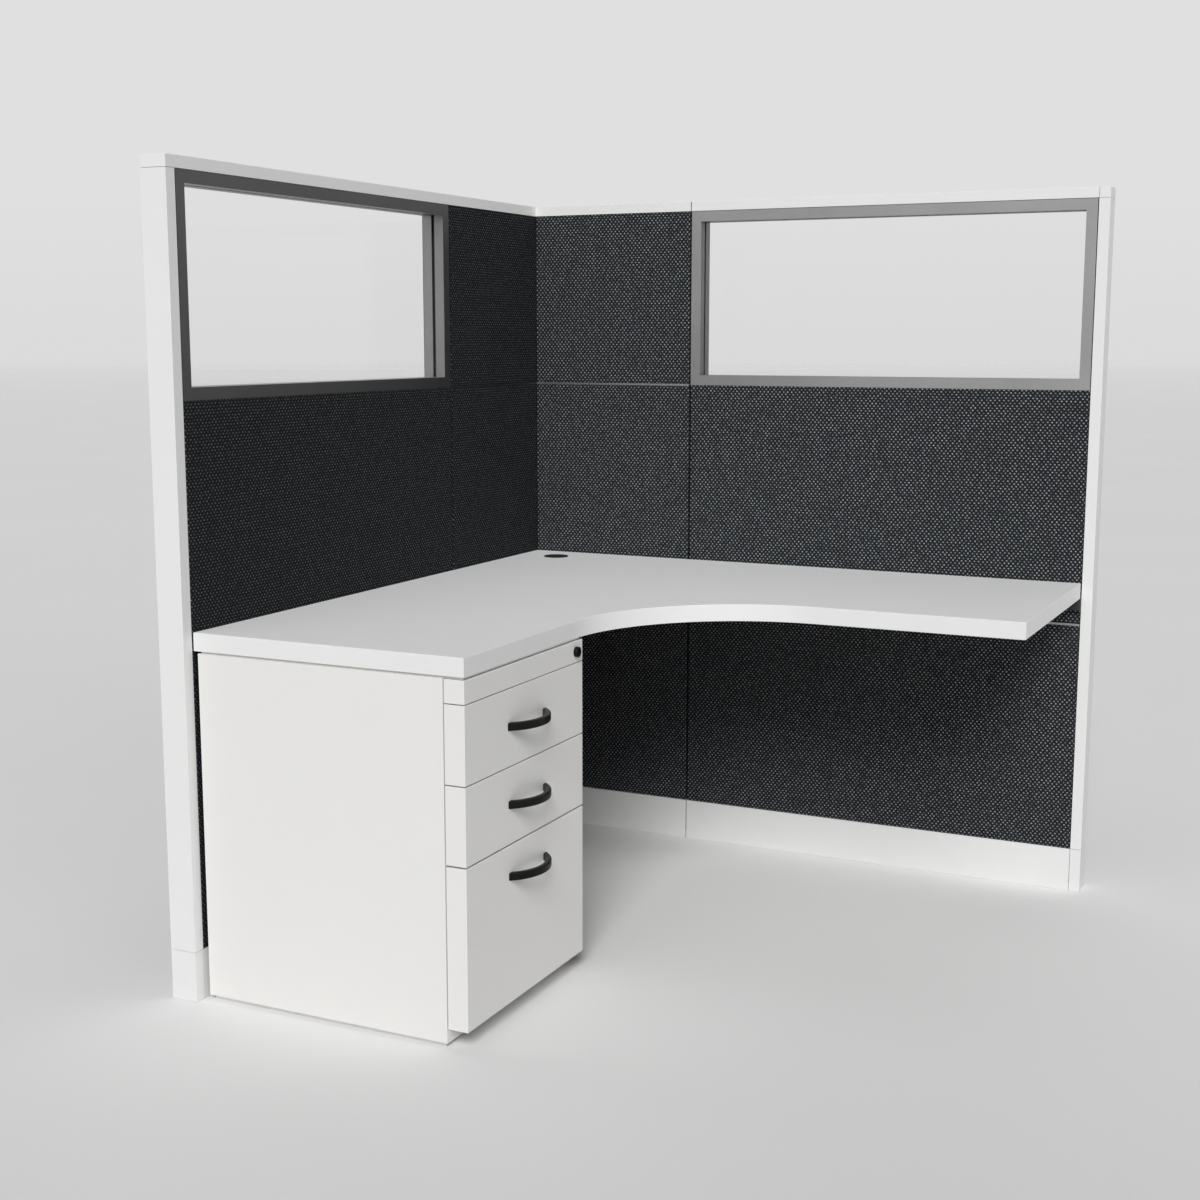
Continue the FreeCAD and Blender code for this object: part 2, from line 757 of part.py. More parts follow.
def end_bracket():
    """A low angle under the worksurface's right end, with one hook in the reveal beside the end trim."""
    leg_x1 = worksurface_reach - end_bracket_setback
    leg_x0 = leg_x1 - end_bracket_sheet
    low = board_underside - end_bracket_height
    leg = block(leg_x0, leg_x1, -bracket_reach, -bracket_wall_gap, low, board_underside)
    shelf = block(leg_x1 - end_bracket_width, leg_x1, -bracket_reach, -bracket_wall_gap,
                  board_underside - end_bracket_sheet, board_underside)
    blade_x1 = main_end - end_blade_margin
    blade_x0 = blade_x1 - end_blade_thickness
    blade = block(blade_x0, blade_x1, -end_blade_reach, frame_front, low, board_underside)
    bridge = block(leg_x0, blade_x1, -end_blade_reach, -end_blade_reach + end_bracket_sheet, low,
                   board_underside)
    hook_z = hook_seat + slot_pitch * math.ceil((low + hook_lip - hook_seat) / slot_pitch)
    shape = one(leg.fuse([shelf, blade, bridge] + hook(blade_x0, blade_x1, hook_z)))
    holes = [rod(screw_radius + screw_clearance, Vector(end_screw_x(), y, board_underside - cut_overrun),
                 Z, 2 * cut_overrun) for y in bracket_screw_places()]
    return shape.cut(Part.makeCompound(holes)).Solids[0]


def worksurface_screw(x, y, seat):
    """A pan-head screw up through a bracket into the board. seat is the underside that its head bears on."""
    shank = rod(screw_radius, Vector(x, y, seat), Z, screw_length)
    head = rod(screw_head_radius, Vector(x, y, seat - screw_head_height), Z, screw_head_height)
    return one(shank.fuse(head))


def screw_spots():
    """Each worksurface screw's x, y and the height that its head bears on."""
    spots = []
    for y in bracket_screw_places():
        x = main_start + screw_line_offset
        spots.append((x, y, web_top))
        spots.append((-y, -x, web_top))
        spots.append((end_screw_x(), y, board_underside - end_bracket_sheet))
    return spots


# Pedestal case
def front_levels():
    """Bottom and top of the lock rail and of the three drawer fronts, from the top down."""
    levels, top = [], case_top - rail_top_drop
    for height, reveal in ((lock_rail_height, rail_reveal), (top_front_height, drawer_reveal),
                           (middle_front_height, file_reveal)):
        levels.append((top - height, top))
        top -= height + reveal
    return levels + [(pedestal_lift + toe_height - file_front_lap, top)]


def front_board(z0, z1):
    shape = block(fronts_back_x, worksurface_depth, pedestal_near, pedestal_far, z0, z1)
    return shape.makeFillet(front_edge_radius, shape.Edges)


# Each drawer: name, front level, box height, rise of the box over the front's edge, slide rise, handle drop
levels = front_levels()
file_box_height = levels[3][1] - file_box_top_gap - levels[3][0] - file_box_rise
drawers = [
    ("top_drawer", levels[1], small_box_height, box_rise, slide_rise, handle_drop),
    ("middle_drawer", levels[2], small_box_height, box_rise, slide_rise, handle_drop),
    ("file_drawer", levels[3], file_box_height, file_box_rise, file_slide_rise, file_handle_drop),
]
box_y0 = inner_near + slide_space
box_y1 = inner_far - slide_space
box_back_x = pedestal_back_x + board + box_back_gap
handle_y = (pedestal_near + pedestal_far) / 2
handle_arc_x = worksurface_depth + handle_projection - handle_arc_radius
lock_y = pedestal_far - lock_inset
lock_z = (levels[0][0] + levels[0][1]) / 2
bar_y1 = inner_far - lock_bar_side_gap
bar_y0 = bar_y1 - lock_bar_sheet
bar_x1 = case_front_x - lock_bar_setback
bar_x0 = bar_x1 - lock_bar_width
catch_x = (bar_x0 + bar_x1) / 2
crank_rise = crank_radius * math.sin(math.radians(crank_half_turn_deg))
lock_travel = 2 * crank_rise
barrel_rear_x = worksurface_depth - lock_barrel_depth
disc_front_x = barrel_rear_x - crank_disc_gap
disc_rear_x = disc_front_x - crank_disc_thickness
tab_x1 = disc_rear_x - crank_disc_gap
tab_x0 = tab_x1 - lock_bar_sheet
arm_z0 = lock_z + crank_rise - lock_arm_height / 2


def drawer_box(z0, height):
    """Sides, back, front and bottom board of one drawer."""
    z1 = z0 + height
    inner_y0, inner_y1 = box_y0 + box_board, box_y1 - box_board
    inner_x0, inner_x1 = box_back_x + box_board, fronts_back_x - box_board
    return [
        block(box_back_x, fronts_back_x, box_y0, inner_y0, z0, z1),
        block(box_back_x, fronts_back_x, inner_y1, box_y1, z0, z1),
        block(box_back_x, inner_x0, inner_y0, inner_y1, z0, z1),
        block(inner_x1, fronts_back_x, inner_y0, inner_y1, z0, z1),
        block(inner_x0, inner_x1, inner_y0, inner_y1, z0, z0 + box_bottom),
    ]


def file_bars(z0, height):
    """Two steel bars on the file drawer's sides that hanging folders hook over."""
    top = z0 + height - file_bar_bite + file_bar_height
    x0, x1 = box_back_x + box_board, fronts_back_x - box_board
    near_y, far_y = box_y0 + box_board, box_y1 - box_board
    return [block(x0, x1, near_y, near_y + file_bar_sheet, top - file_bar_height, top),
            block(x0, x1, far_y - file_bar_sheet, far_y, top - file_bar_height, top)]


def slide_members(z_mid):
    """Cabinet, middle and drawer member of the pair of slides at one height."""
    x0 = box_back_x + slide_rear_setback
    x1 = case_front_x - slide_front_setback
    t = slide_sheet

    def channel(web0, mouth, half, side):
        """A channel with its web at web0 and its mouth at mouth, measured from the case side inwards."""
        inner = web0 + t if mouth > web0 else web0 - t
        corners = [(web0, -half), (web0, half), (mouth, half), (mouth, half - t), (inner, half - t),
                   (inner, -half + t), (mouth, -half + t), (mouth, -half)]
        place = (lambda a: inner_near + a) if side == "near" else (lambda a: inner_far - a)
        return slab([(x0, place(a), z_mid + z) for a, z in corners], X * (x1 - x0))

    half_cabinet = slide_height / 2
    half_middle = half_cabinet - t - slide_running_gap
    half_drawer = half_middle - t - slide_running_gap
    clear = slide_space - t - slide_running_gap
    cabinet = [channel(0, clear, half_cabinet, side) for side in ("near", "far")]
    middle = [channel(middle_member_web - t, clear, half_middle, side) for side in ("near", "far")]
    drawer = [channel(slide_space, slide_space - drawer_member_flange, half_drawer, side)
              for side in ("near", "far")]
    return cabinet, middle, drawer


def catch_pin(z):
    return rod(catch_pin_radius, Vector(catch_x, box_y1, z), Y, inner_far - catch_tip_gap - box_y1)


# Bow handles and their bolts
def half_chord(radius):
    """Half the length that an arc of this radius about the handle's centre spans on the drawer front."""
    return math.sqrt(radius ** 2 - (worksurface_depth - handle_arc_x) ** 2)


def bow_block(radius, z0):
    """What that arc cuts off in front of the drawer front."""
    near_end = Vector(worksurface_depth, handle_y - half_chord(radius), z0)
    far_end = Vector(worksurface_depth, handle_y + half_chord(radius), z0)
    crown = Vector(handle_arc_x + radius, handle_y, z0)
    return Part.Face(outline([near_end, (crown, far_end)])).extrude(Z * handle_height)


handle_bolt_y = half_chord(handle_arc_radius) - handle_bolt_inset


def handle(z_mid):
    """A bar bent to an arc, its ends cut flat on the front and tapped from behind for its bolts."""
    z0 = z_mid - handle_height / 2
    bar = bow_block(handle_arc_radius, z0).cut(bow_block(handle_arc_radius - handle_thickness, z0))
    bar = rounded(bar, handle_edge_radius,
                  lambda e: near(e.ZMin, e.ZMax) and e.XMax > worksurface_depth + same_place)
    holes = [rod(handle_bolt_radius + handle_bolt_clearance,
                 Vector(worksurface_depth - cut_overrun, handle_y + side * handle_bolt_y, z_mid), X,
                 cut_overrun + handle_bolt_bite + handle_bolt_clearance) for side in (-1, 1)]
    return bar.cut(Part.makeCompound(holes)).Solids[0]


def handle_bolts(z_mid):
    made = []
    seat_x = worksurface_depth - handle_bolt_grip
    for side in (-1, 1):
        start = Vector(seat_x, handle_y + side * handle_bolt_y, z_mid)
        shank = rod(handle_bolt_radius, start, X, handle_bolt_grip + handle_bolt_bite)
        head = rod(handle_bolt_head_radius, start - X * handle_bolt_head_height, X, handle_bolt_head_height)
        made.append(one(shank.fuse(head)))
    return made


def drawer_front(z0, z1, z_handle):
    """A drawer front with stepped holes for the handle's bolts."""
    shape = front_board(z0, z1)
    holes = []
    for side in (-1, 1):
        y = handle_y + side * handle_bolt_y
        holes.append(rod(handle_bolt_radius + handle_bolt_clearance, Vector(fronts_back_x, y, z_handle), X,
                         front_thickness + cut_overrun))
        holes.append(rod(handle_counterbore_radius, Vector(fronts_back_x - cut_overrun, y, z_handle), X,
                         cut_overrun + front_thickness - handle_bolt_grip))
    return shape.cut(Part.makeCompound(holes)).Solids[0]


# Lock
def lock_rail():
    """The fixed rail over the drawers, with a pocket behind for the lock and a round hole for its barrel."""
    z0, z1 = levels[0]
    pocket = block(fronts_back_x - cut_overrun, fronts_back_x + lock_pocket_depth, lock_y - lock_pocket_near,
                   lock_y + lock_pocket_far, z0 + lock_pocket_wall, z1 - lock_pocket_wall)
    hole = rod(lock_barrel_radius + lock_barrel_clearance, Vector(fronts_back_x, lock_y, lock_z), X,
               front_thickness + cut_overrun)
    return front_board(z0, z1).cut(Part.makeCompound([pocket, hole])).Solids[0]


def rail_cleat():
    """The strip that fixes the lock rail to the underside of the case's top."""
    top = case_top - board
    return block(fronts_back_x - cleat_depth, fronts_back_x, handle_y - cleat_width / 2,
                 handle_y + cleat_width / 2, top - cleat_height, top)


def lock_barrel():
    face_x = worksurface_depth + lock_bezel_reach
    barrel = rod(lock_barrel_radius, Vector(barrel_rear_x, lock_y, lock_z), X, face_x - barrel_rear_x)
    bezel = rod(lock_bezel_radius, Vector(worksurface_depth, lock_y, lock_z), X, lock_bezel_reach)
    bezel = rounded(bezel, lock_bezel_edge, lambda e: near(e.XMin, face_x))
    bore = rod(lock_plug_radius + lock_plug_clearance, Vector(barrel_rear_x - cut_overrun, lock_y, lock_z), X,
               face_x - barrel_rear_x + 2 * cut_overrun)
    return one(barrel.fuse(bezel).cut(bore))


def lock_core():
    """The turning plug with its keyway, crank disc and crank pin, unlocked at rest with the pin high."""
    face_x = worksurface_depth + lock_bezel_reach
    plug = rod(lock_plug_radius, Vector(disc_rear_x, lock_y, lock_z), X, face_x - disc_rear_x)
    keyway = block(face_x - keyway_depth, face_x + cut_overrun, lock_y - keyway_width / 2,
                   lock_y + keyway_width / 2, lock_z - keyway_height / 2, lock_z + keyway_height / 2)
    disc = rod(crank_disc_radius, Vector(disc_rear_x, lock_y, lock_z), X, crank_disc_thickness)
    pin = rod(crank_pin_radius, Vector(disc_rear_x - crank_pin_length, lock_y - crank_radius * math.cos(
        math.radians(crank_half_turn_deg)), lock_z + crank_rise), X, crank_pin_length)
    return one(plug.cut(keyway).fuse([disc, pin]))


def lock_bar():
    """A flat bar down the case's far side, with a hooked pocket for each catch pin, and the crank's arm."""
    bar = block(bar_x0, bar_x1, bar_y0, bar_y1, pedestal_lift + toe_height + board + lock_bar_floor_gap,
                arm_z0 + lock_arm_height)
    arm = block(bar_x0, tab_x1, bar_y0, bar_y1, arm_z0, arm_z0 + lock_arm_height)
    tab = block(tab_x0, tab_x1, bar_y1 - lock_tab_width, bar_y1, arm_z0, arm_z0 + lock_arm_height)
    half_slot = crank_pin_radius + lock_slot_clearance
    pin_y = lock_y - crank_radius
    slot_z = lock_z + crank_rise
    slot = block(tab_x0 - cut_overrun, tab_x1 + cut_overrun, pin_y - half_slot,
                 pin_y - half_slot + lock_slot_length, slot_z - half_slot, slot_z + half_slot)
    cuts = [slot]
    room = catch_pin_radius + catch_clearance
    for _, (z0, _), _, rise, _, _ in drawers:
        z = z0 + rise + catch_pin_rise
        y0, y1 = bar_y0 - cut_overrun, bar_y1 + cut_overrun
        cuts.append(block(catch_x - room, catch_x + room, y0, y1, z - room, z + room + lock_travel))
        cuts.append(block(catch_x, bar_x1 + cut_overrun, y0, y1, z - room, z + room))
    return one(bar.fuse([arm, tab]).cut(Part.makeCompound(cuts)))


def case_top_board():
    """The case's top, notched at the front for the lock's arm."""
    top = block(pedestal_back_x + board, case_front_x, inner_near, inner_far, case_top - board, case_top)
    notch = block(bar_x0 - lock_notch_margin, case_front_x + cut_overrun, bar_y0 - lock_notch_margin,
                  inner_far + cut_overrun, case_top - board - cut_overrun, case_top + cut_overrun)
    return top.cut(notch).Solids[0]


def side_board(y0):
    return block(pedestal_back_x, case_front_x, y0, y0 + board, pedestal_lift, case_top)


def pedestal_glide_places():
    return [(x, y) for x in (pedestal_back_x + pedestal_glide_inset, case_front_x - pedestal_glide_inset)
            for y in (inner_near + pedestal_glide_inset, inner_far - pedestal_glide_inset)]


def base_board():
    """The case's floor, bored from below for its four glides."""
    z0 = pedestal_lift + toe_height
    shape = block(pedestal_back_x + board, case_front_x, inner_near, inner_far, z0, z0 + board)
    holes = [rod(pedestal_stem_radius + stem_clearance, Vector(x, y, z0 - cut_overrun), Z,
                 cut_overrun + pedestal_stem_bite + stem_clearance) for x, y in pedestal_glide_places()]
    return shape.cut(Part.makeCompound(holes)).Solids[0]


def border(x0, x1, y0, y1, width, depth, z0, z1):
    """Four strips round a rectangle: width is theirs at the back and the sides, depth the front one's."""
    return [block(x0, x1, y0, y0 + width, z0, z1), block(x0, x1, y1 - width, y1, z0, z1),
            block(x0, x0 + width, y0 + width, y1 - width, z0, z1),
            block(x1 - depth, x1, y0 + width, y1 - width, z0, z1)]


def plinth():
    """A low frame of boards that stands back under the case and hides its glides."""
    return border(pedestal_back_x + plinth_setback, case_front_x - plinth_setback,
                  pedestal_near + plinth_setback, pedestal_far - plinth_setback, plinth_board, plinth_board,
                  plinth_floor_gap, pedestal_lift)


def spacers():
    """Strips between the case and the worksurface, the front one reaching out over the lock rail."""
    front = worksurface_depth - spacer_setback
    return border(pedestal_back_x + spacer_setback, front, pedestal_near + spacer_setback,
                  pedestal_far - spacer_setback, spacer_width, front - case_front_x + spacer_width,
                  case_top, board_underside)


def write_walls():
    panels = {"corner": (0, main_start), "main": (main_start, main_end)}
    gaps = {"corner": (corner_reveal, joint_reveal), "main": (joint_reveal, trim_reveal)}
    clips, strips, outer = [], [], []
    for name, (x0, x1) in panels.items():
        frame = panel_frame(x0, x1, slotted_start=name == "main")
        write(f"back_{name}_panel_frame", frame)
        write(f"left_{name}_panel_frame", [on_left(s) for s in frame])
        inner = [tile(x0, x1, z0, z1, *gaps[name]) for z0, z1 in tile_levels(name == "main")]
        write(f"back_{name}_tiles", inner)
        write(f"left_{name}_tiles", [on_left(s) for s in inner])
        outer += [mirrored_in_wall(s) for s in inner]
        for z0, z1 in tile_levels(name == "main"):
            found = clips_behind(x0, x1, z0, z1)
            clips += found + [mirrored_in_wall(s) for s in found]
        joints = [lower_joint_height] if name == "main" else [lower_joint_height, upper_joint_height]
        found = [joint_strip(x0, x1, z, *gaps[name]) for z in joints]
        strips += found + [mirrored_in_wall(s) for s in found]
    write("back_outer_tiles", outer)
    write("left_outer_tiles", [on_left(s) for s in outer])
    write("tile_clips", both_walls(clips))
    write("tile_joint_strips", both_walls(strips))

    members = mitred(window_ring())
    members += [mirrored_in_wall(s) for s in members]
    write("back_window_frame", members)
    write("left_window_frame", [on_left(s) for s in members])
    write("window_glass", both_walls([glass_pane()]))
    write("window_gaskets", both_walls([gasket()]))

    write("corner_post", [corner_post()])
    write("corner_post_cover", [corner_cover(base_height, cap_seat),
                                corner_cover(cover_floor_gap, base_height)])
    write("panel_top_caps", both_walls([top_cap(*panels["corner"], cap_end_gap, cap_joint_gap),
                                        top_cap(*panels["main"], cap_joint_gap, cap_end_gap)]))
    end_lid = lid(main_end + cap_end_gap / 2, leg_length, 0, wall_thickness)
    write("trim_caps", both_walls([end_lid]) + [lid(-wall_thickness, 0, 0, wall_thickness)])
    trim = tall_end_trim()
    write("back_end_trim", [trim])
    write("left_end_trim", [on_left(trim)])
    write("end_trim_bases", both_walls([end_trim(cover_floor_gap, base_height)]))
    half = base_joint_gap / 2
    covers = [base_cover(*panels["corner"], corner_reveal, half),
              base_cover(*panels["main"], half, base_end_gap)]
    write("inner_base_covers", both_walls(covers))
    write("outer_base_covers", both_walls([mirrored_in_wall(s) for s in covers]))

    bolts = []
    for z in tie_bolt_heights():
        bolts += [tie_bolt(x, mid_wall, z, X, 2 * tube_wall) for x in (0, main_start)]
    write("panel_tie_bolts", both_walls(bolts))
    glides = [levelling_glide(x, mid_wall) for x0, x1 in panels.values() for x in glide_places(x0, x1)]
    glides = both_walls(glides) + [levelling_glide(-post_size / 2, post_size / 2)]
    glides += [pedestal_glide(x, y) for x, y in pedestal_glide_places()]
    write("levelling_glides", glides)


def write_worksurface():
    laminate_z = worksurface_height - laminate_thickness
    pilots = [rod(screw_radius, Vector(x, y, board_underside - cut_overrun), Z,
                  cut_overrun + screw_length) for x, y, _ in screw_spots()]
    core = worksurface_slab(edge_band_thickness, board_underside, laminate_z)
    write("worksurface_core", [core.cut(Part.makeCompound(pilots + [grommet_hole()]))])
    laminate = worksurface_slab(edge_band_thickness, laminate_z, worksurface_height)
    write("worksurface_laminate", [laminate.cut(grommet_hole())])
    write("worksurface_edge_band", [edge_band()])
    write("grommet_sleeve", [grommet_sleeve()])
    write("grommet_cap", [grommet_cap()])
    arm = cantilever_bracket()
    write("worksurface_brackets", [arm, on_left(arm), end_bracket()])
    write("worksurface_screws", [worksurface_screw(*spot) for spot in screw_spots()])
    write("worksurface_spacers", spacers())


def write_pedestal():
    write("pedestal_near_side", [side_board(pedestal_near)])
    write("pedestal_far_side", [side_board(inner_far)])
    write("pedestal_back", [block(pedestal_back_x, pedestal_back_x + board, inner_near, inner_far,
                                  pedestal_lift, case_top)])
    write("pedestal_top", [case_top_board()])
    toe = block(case_front_x - board, case_front_x, inner_near, inner_far, pedestal_lift,
                pedestal_lift + toe_height)
    write("pedestal_base", [base_board(), toe] + plinth())
    write("lock_rail", [lock_rail(), rail_cleat()])
    write("lock_barrel", [lock_barrel()])
    write("lock_core", [lock_core()])
    write("lock_bar", [lock_bar()])

    cabinet_members = []
    for name, (z0, z1), height, rise, slide_up, drop in drawers:
        box_z = z0 + rise
        handle_z = z1 - drop
        cabinet, middle, drawer = slide_members(box_z + slide_up + slide_height / 2)
        cabinet_members += cabinet
        write(f"{name}_front", [drawer_front(z0, z1, handle_z)])
        write(f"{name}_box", drawer_box(box_z, height))
        write(f"{name}_handle", [handle(handle_z)] + handle_bolts(handle_z))
        write(f"{name}_middle_slides", middle)
        runners = drawer + [catch_pin(box_z + catch_pin_rise)]
        if name == "file_drawer":
            runners += file_bars(box_z, height)
        write(f"{name}_runners", runners)
    write("cabinet_slides", cabinet_members)


os.makedirs("parts", exist_ok=True)
write_walls()
write_worksurface()
write_pedestal()
print("nodes", len(written))
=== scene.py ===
"""Cubicle workstation: the looks of two panel walls in an L, a coved corner worksurface and a drawer pedestal.

Metres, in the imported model's frame: +Z up, +X along the back wall, the user at +X, -Y. The sections follow the
way the workstation is put together, and each holds all that its pieces need.
"""
import math

import bmesh
import bpy
from mathutils import Matrix, Vector


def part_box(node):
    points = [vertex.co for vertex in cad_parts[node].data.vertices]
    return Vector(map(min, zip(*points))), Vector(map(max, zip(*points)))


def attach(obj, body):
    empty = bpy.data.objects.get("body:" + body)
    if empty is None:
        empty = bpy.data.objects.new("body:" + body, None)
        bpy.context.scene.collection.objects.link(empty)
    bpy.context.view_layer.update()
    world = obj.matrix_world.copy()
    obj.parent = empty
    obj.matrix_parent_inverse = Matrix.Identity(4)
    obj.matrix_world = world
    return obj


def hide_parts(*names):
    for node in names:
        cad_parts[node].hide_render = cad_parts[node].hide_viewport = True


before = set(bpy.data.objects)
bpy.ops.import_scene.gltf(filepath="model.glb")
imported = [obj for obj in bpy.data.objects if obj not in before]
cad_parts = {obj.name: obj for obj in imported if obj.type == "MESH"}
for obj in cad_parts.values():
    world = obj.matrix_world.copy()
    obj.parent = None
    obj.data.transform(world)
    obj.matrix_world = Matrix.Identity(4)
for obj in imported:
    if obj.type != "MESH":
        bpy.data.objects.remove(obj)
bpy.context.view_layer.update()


# Panel frames and corner post: square steel tube, welded, with hook slots down the uprights at the joint.
# Powder coated black; they stand inside the walls and show only through the joints between the tiles.
def add_node(tree, kind, inputs=None, **settings):
    """Adds a node. inputs maps a socket's identifier, name or number to a value or to a socket to link from."""
    node = tree.nodes.new(kind)
    for name, value in settings.items():
        setattr(node, name, value)
    for key, value in (inputs or {}).items():
        if isinstance(key, int):
            socket = node.inputs[key]
        else:
            socket = next((s for s in node.inputs if s.identifier == key), None) or node.inputs[key]
        if isinstance(value, bpy.types.NodeSocket):
            tree.links.new(value, socket)
        else:
            socket.default_value = value
    return node


def connect(tree, node, **sockets):
    """Links an output to each of a node's inputs named here."""
    for name, socket in sockets.items():
        tree.links.new(socket, node.inputs[name.replace("_", " ")])


def calc(tree, operation, a, b=0.0, c=0.0):
    """The output of a Math node."""
    return add_node(tree, "ShaderNodeMath", {0: a, 1: b, 2: c}, operation=operation).outputs[0]


def blend_colours(tree, factor, a, b, how="MIX"):
    node = add_node(tree, "ShaderNodeMix", {"Factor_Float": factor, "A_Color": a, "B_Color": b},
                    data_type="RGBA", blend_type=how)
    return next(s for s in node.outputs if s.identifier == "Result_Color")


def ramp(tree, value, low, high, to_low=0.0, to_high=1.0, kind="SMOOTHSTEP"):
    """A value mapped from one range to another, smoothly and within its ends."""
    return add_node(tree, "ShaderNodeMapRange",
                    {"Value": value, "From Min": low, "From Max": high, "To Min": to_low, "To Max": to_high},
                    interpolation_type=kind).outputs[0]


def noise(tree, vector, scale, detail, rough=0.5):
    return add_node(tree, "ShaderNodeTexNoise",
                    {"Vector": vector, "Scale": scale, "Detail": detail, "Roughness": rough}).outputs[0]


def full_range(tree, value, low=0.3):
    """A noise value, which keeps near the middle, spread out from nought to one."""
    return ramp(tree, value, low, 1.0 - low)


def split(tree, vector):
    """The X, Y and Z of a vector."""
    return add_node(tree, "ShaderNodeSeparateXYZ", {0: vector}).outputs


def new_effect(name, inputs, outputs):
    """An empty shader group with named sockets. Returns the group and its input and output nodes."""
    group = bpy.data.node_groups.new(name, "ShaderNodeTree")
    kinds = {"value": "NodeSocketFloat", "colour": "NodeSocketColor", "vector": "NodeSocketVector"}
    for label, kind, default in inputs:
        socket = group.interface.new_socket(name=label, in_out="INPUT", socket_type=kinds[kind])
        if default is not None:
            socket.default_value = default
    for label, kind in outputs:
        group.interface.new_socket(name=label, in_out="OUTPUT", socket_type=kinds[kind])
    return group, group.nodes.new("NodeGroupInput"), group.nodes.new("NodeGroupOutput")


def rgb(r, g, b):
    return (r, g, b, 1.0)


def grey(level):
    return rgb(level, level, level)


def coat_effect():
    """Paint, plastic or laminate: slow drifts of tone, small spots of another sheen and a fine texture."""
    group, given, out = new_effect("surface drift", [
        ("Vector", "vector", None), ("Colour", "colour", grey(0.8)), ("Drift Colour", "colour", grey(0.7)),
        ("Drift Scale", "value", 3.0), ("Drift", "value", 0.5), ("Roughness", "value", 0.5),
        ("Roughness Drift", "value", 0.1), ("Texture Scale", "value", 900.0)],
        [("Colour", "colour"), ("Roughness", "value"), ("Height", "value")])
    g = given.outputs
    spots_to_a_drift = 9.0
    drift = full_range(group, noise(group, g["Vector"], g["Drift Scale"], detail=4.0, rough=0.55))
    tint = blend_colours(group, calc(group, "MULTIPLY", drift, g["Drift"]), g["Colour"], g["Drift Colour"])
    spot_scale = calc(group, "MULTIPLY", g["Drift Scale"], spots_to_a_drift)
    spots = noise(group, g["Vector"], spot_scale, detail=3.0, rough=0.6)
    rough = calc(group, "MULTIPLY_ADD", calc(group, "SUBTRACT", spots, 0.5), g["Roughness Drift"],
                 g["Roughness"])
    fine = noise(group, g["Vector"], g["Texture Scale"], detail=1.0)
    connect(group, out, Colour=tint, Roughness=rough, Height=fine)
    return group


surface_drift = coat_effect()


def grime_effect():
    """Dust and scuffs that gather near the floor, thinning out with height."""
    group, given, out = new_effect("floor grime", [
        ("Vector", "vector", None), ("Colour", "colour", grey(0.8)),
        ("Dust", "colour", rgb(0.45, 0.43, 0.4)), ("Reach", "value", 0.1), ("Amount", "value", 0.2)],
        [("Colour", "colour")])
    g = given.outputs
    height = split(group, g["Vector"])["Z"]
    near_floor = calc(group, "SUBTRACT", 1.0, ramp(group, calc(group, "DIVIDE", height, g["Reach"]), 0.0, 1.0))
    patch = ramp(group, noise(group, g["Vector"], scale=14.0, detail=5.0, rough=0.65), low=0.35, high=0.75)
    amount = calc(group, "MULTIPLY", calc(group, "MULTIPLY", near_floor, patch), g["Amount"])
    connect(group, out, Colour=blend_colours(group, amount, g["Colour"], g["Dust"]))
    return group


floor_grime = grime_effect()


def new_finish(name, **constants):
    """A material with its principled shader. constants are sockets that are the same all over."""
    material = bpy.data.materials.new(name)
    material.use_nodes = True
    shader = material.node_tree.nodes["Principled BSDF"]
    for socket, value in constants.items():
        shader.inputs[socket.replace("_", " ")].default_value = value
    return material, material.node_tree, shader


def place_of(tree, turn=(0.0, 0.0, 0.0), scale=(1.0, 1.0, 1.0)):
    """Object coordinates, turned and stretched."""
    here = add_node(tree, "ShaderNodeTexCoord").outputs["Object"]
    if turn == (0.0, 0.0, 0.0) and scale == (1.0, 1.0, 1.0):
        return here
    return add_node(tree, "ShaderNodeMapping", {"Vector": here, "Rotation": turn, "Scale": scale}).outputs[0]


def add_effect(tree, group, **inputs):
    named = {label.replace("_", " "): value for label, value in inputs.items()}
    return add_node(tree, "ShaderNodeGroup", named, node_tree=group)


def add_bump(tree, shader, height, distance, strength=1.0):
    bump = add_node(tree, "ShaderNodeBump", {"Height": height, "Distance": distance, "Strength": strength})
    connect(tree, shader, Normal=bump.outputs[0])


def coated(name, colour, drift_colour, roughness, drift_scale=3.0, texture_scale=900.0,
           texture_depth=0.00008, roughness_drift=0.12, dust=0.0, dust_reach=0.12, **constants):
    """A finish made of the surface drift effect, with dust near the floor if asked for."""
    material, tree, shader = new_finish(name, **constants)
    here = place_of(tree)
    effect = add_effect(tree, surface_drift, Vector=here, Colour=colour, Drift_Colour=drift_colour,
                        Drift_Scale=drift_scale, Drift=0.5, Roughness=roughness,
                        Roughness_Drift=roughness_drift, Texture_Scale=texture_scale)
    tint = effect.outputs["Colour"]
    if dust:
        tint = add_effect(tree, floor_grime, Vector=here, Colour=tint, Reach=dust_reach, Amount=dust).outputs[0]
    connect(tree, shader, Base_Color=tint, Roughness=effect.outputs["Roughness"])
    add_bump(tree, shader, effect.outputs["Height"], texture_depth)
    return material


def dress(material, *names):
    """Gives CAD nodes a finish."""
    for name in names:
        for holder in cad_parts[name].material_slots:
            holder.material = material


frame_paint = coated("frame paint", colour=rgb(0.014, 0.014, 0.015), drift_colour=rgb(0.02, 0.02, 0.021),
                     roughness=0.55, dust=0.3, Specular_IOR_Level=0.2)
dress(frame_paint, "back_corner_panel_frame", "back_main_panel_frame", "left_corner_panel_frame",
      "left_main_panel_frame", "corner_post")


# Tie bolts, tile clips, screws, drawer slides and lock bar: steel parts with a bright zinc coat, bolted,
# pressed or screwed in. The coat has a fine crystalline bloom.
def weighed(tree, a, b, share):
    """Two values added, the first by its share and the second by the rest."""
    return calc(tree, "MULTIPLY_ADD", a, share, calc(tree, "MULTIPLY", b, 1.0 - share))


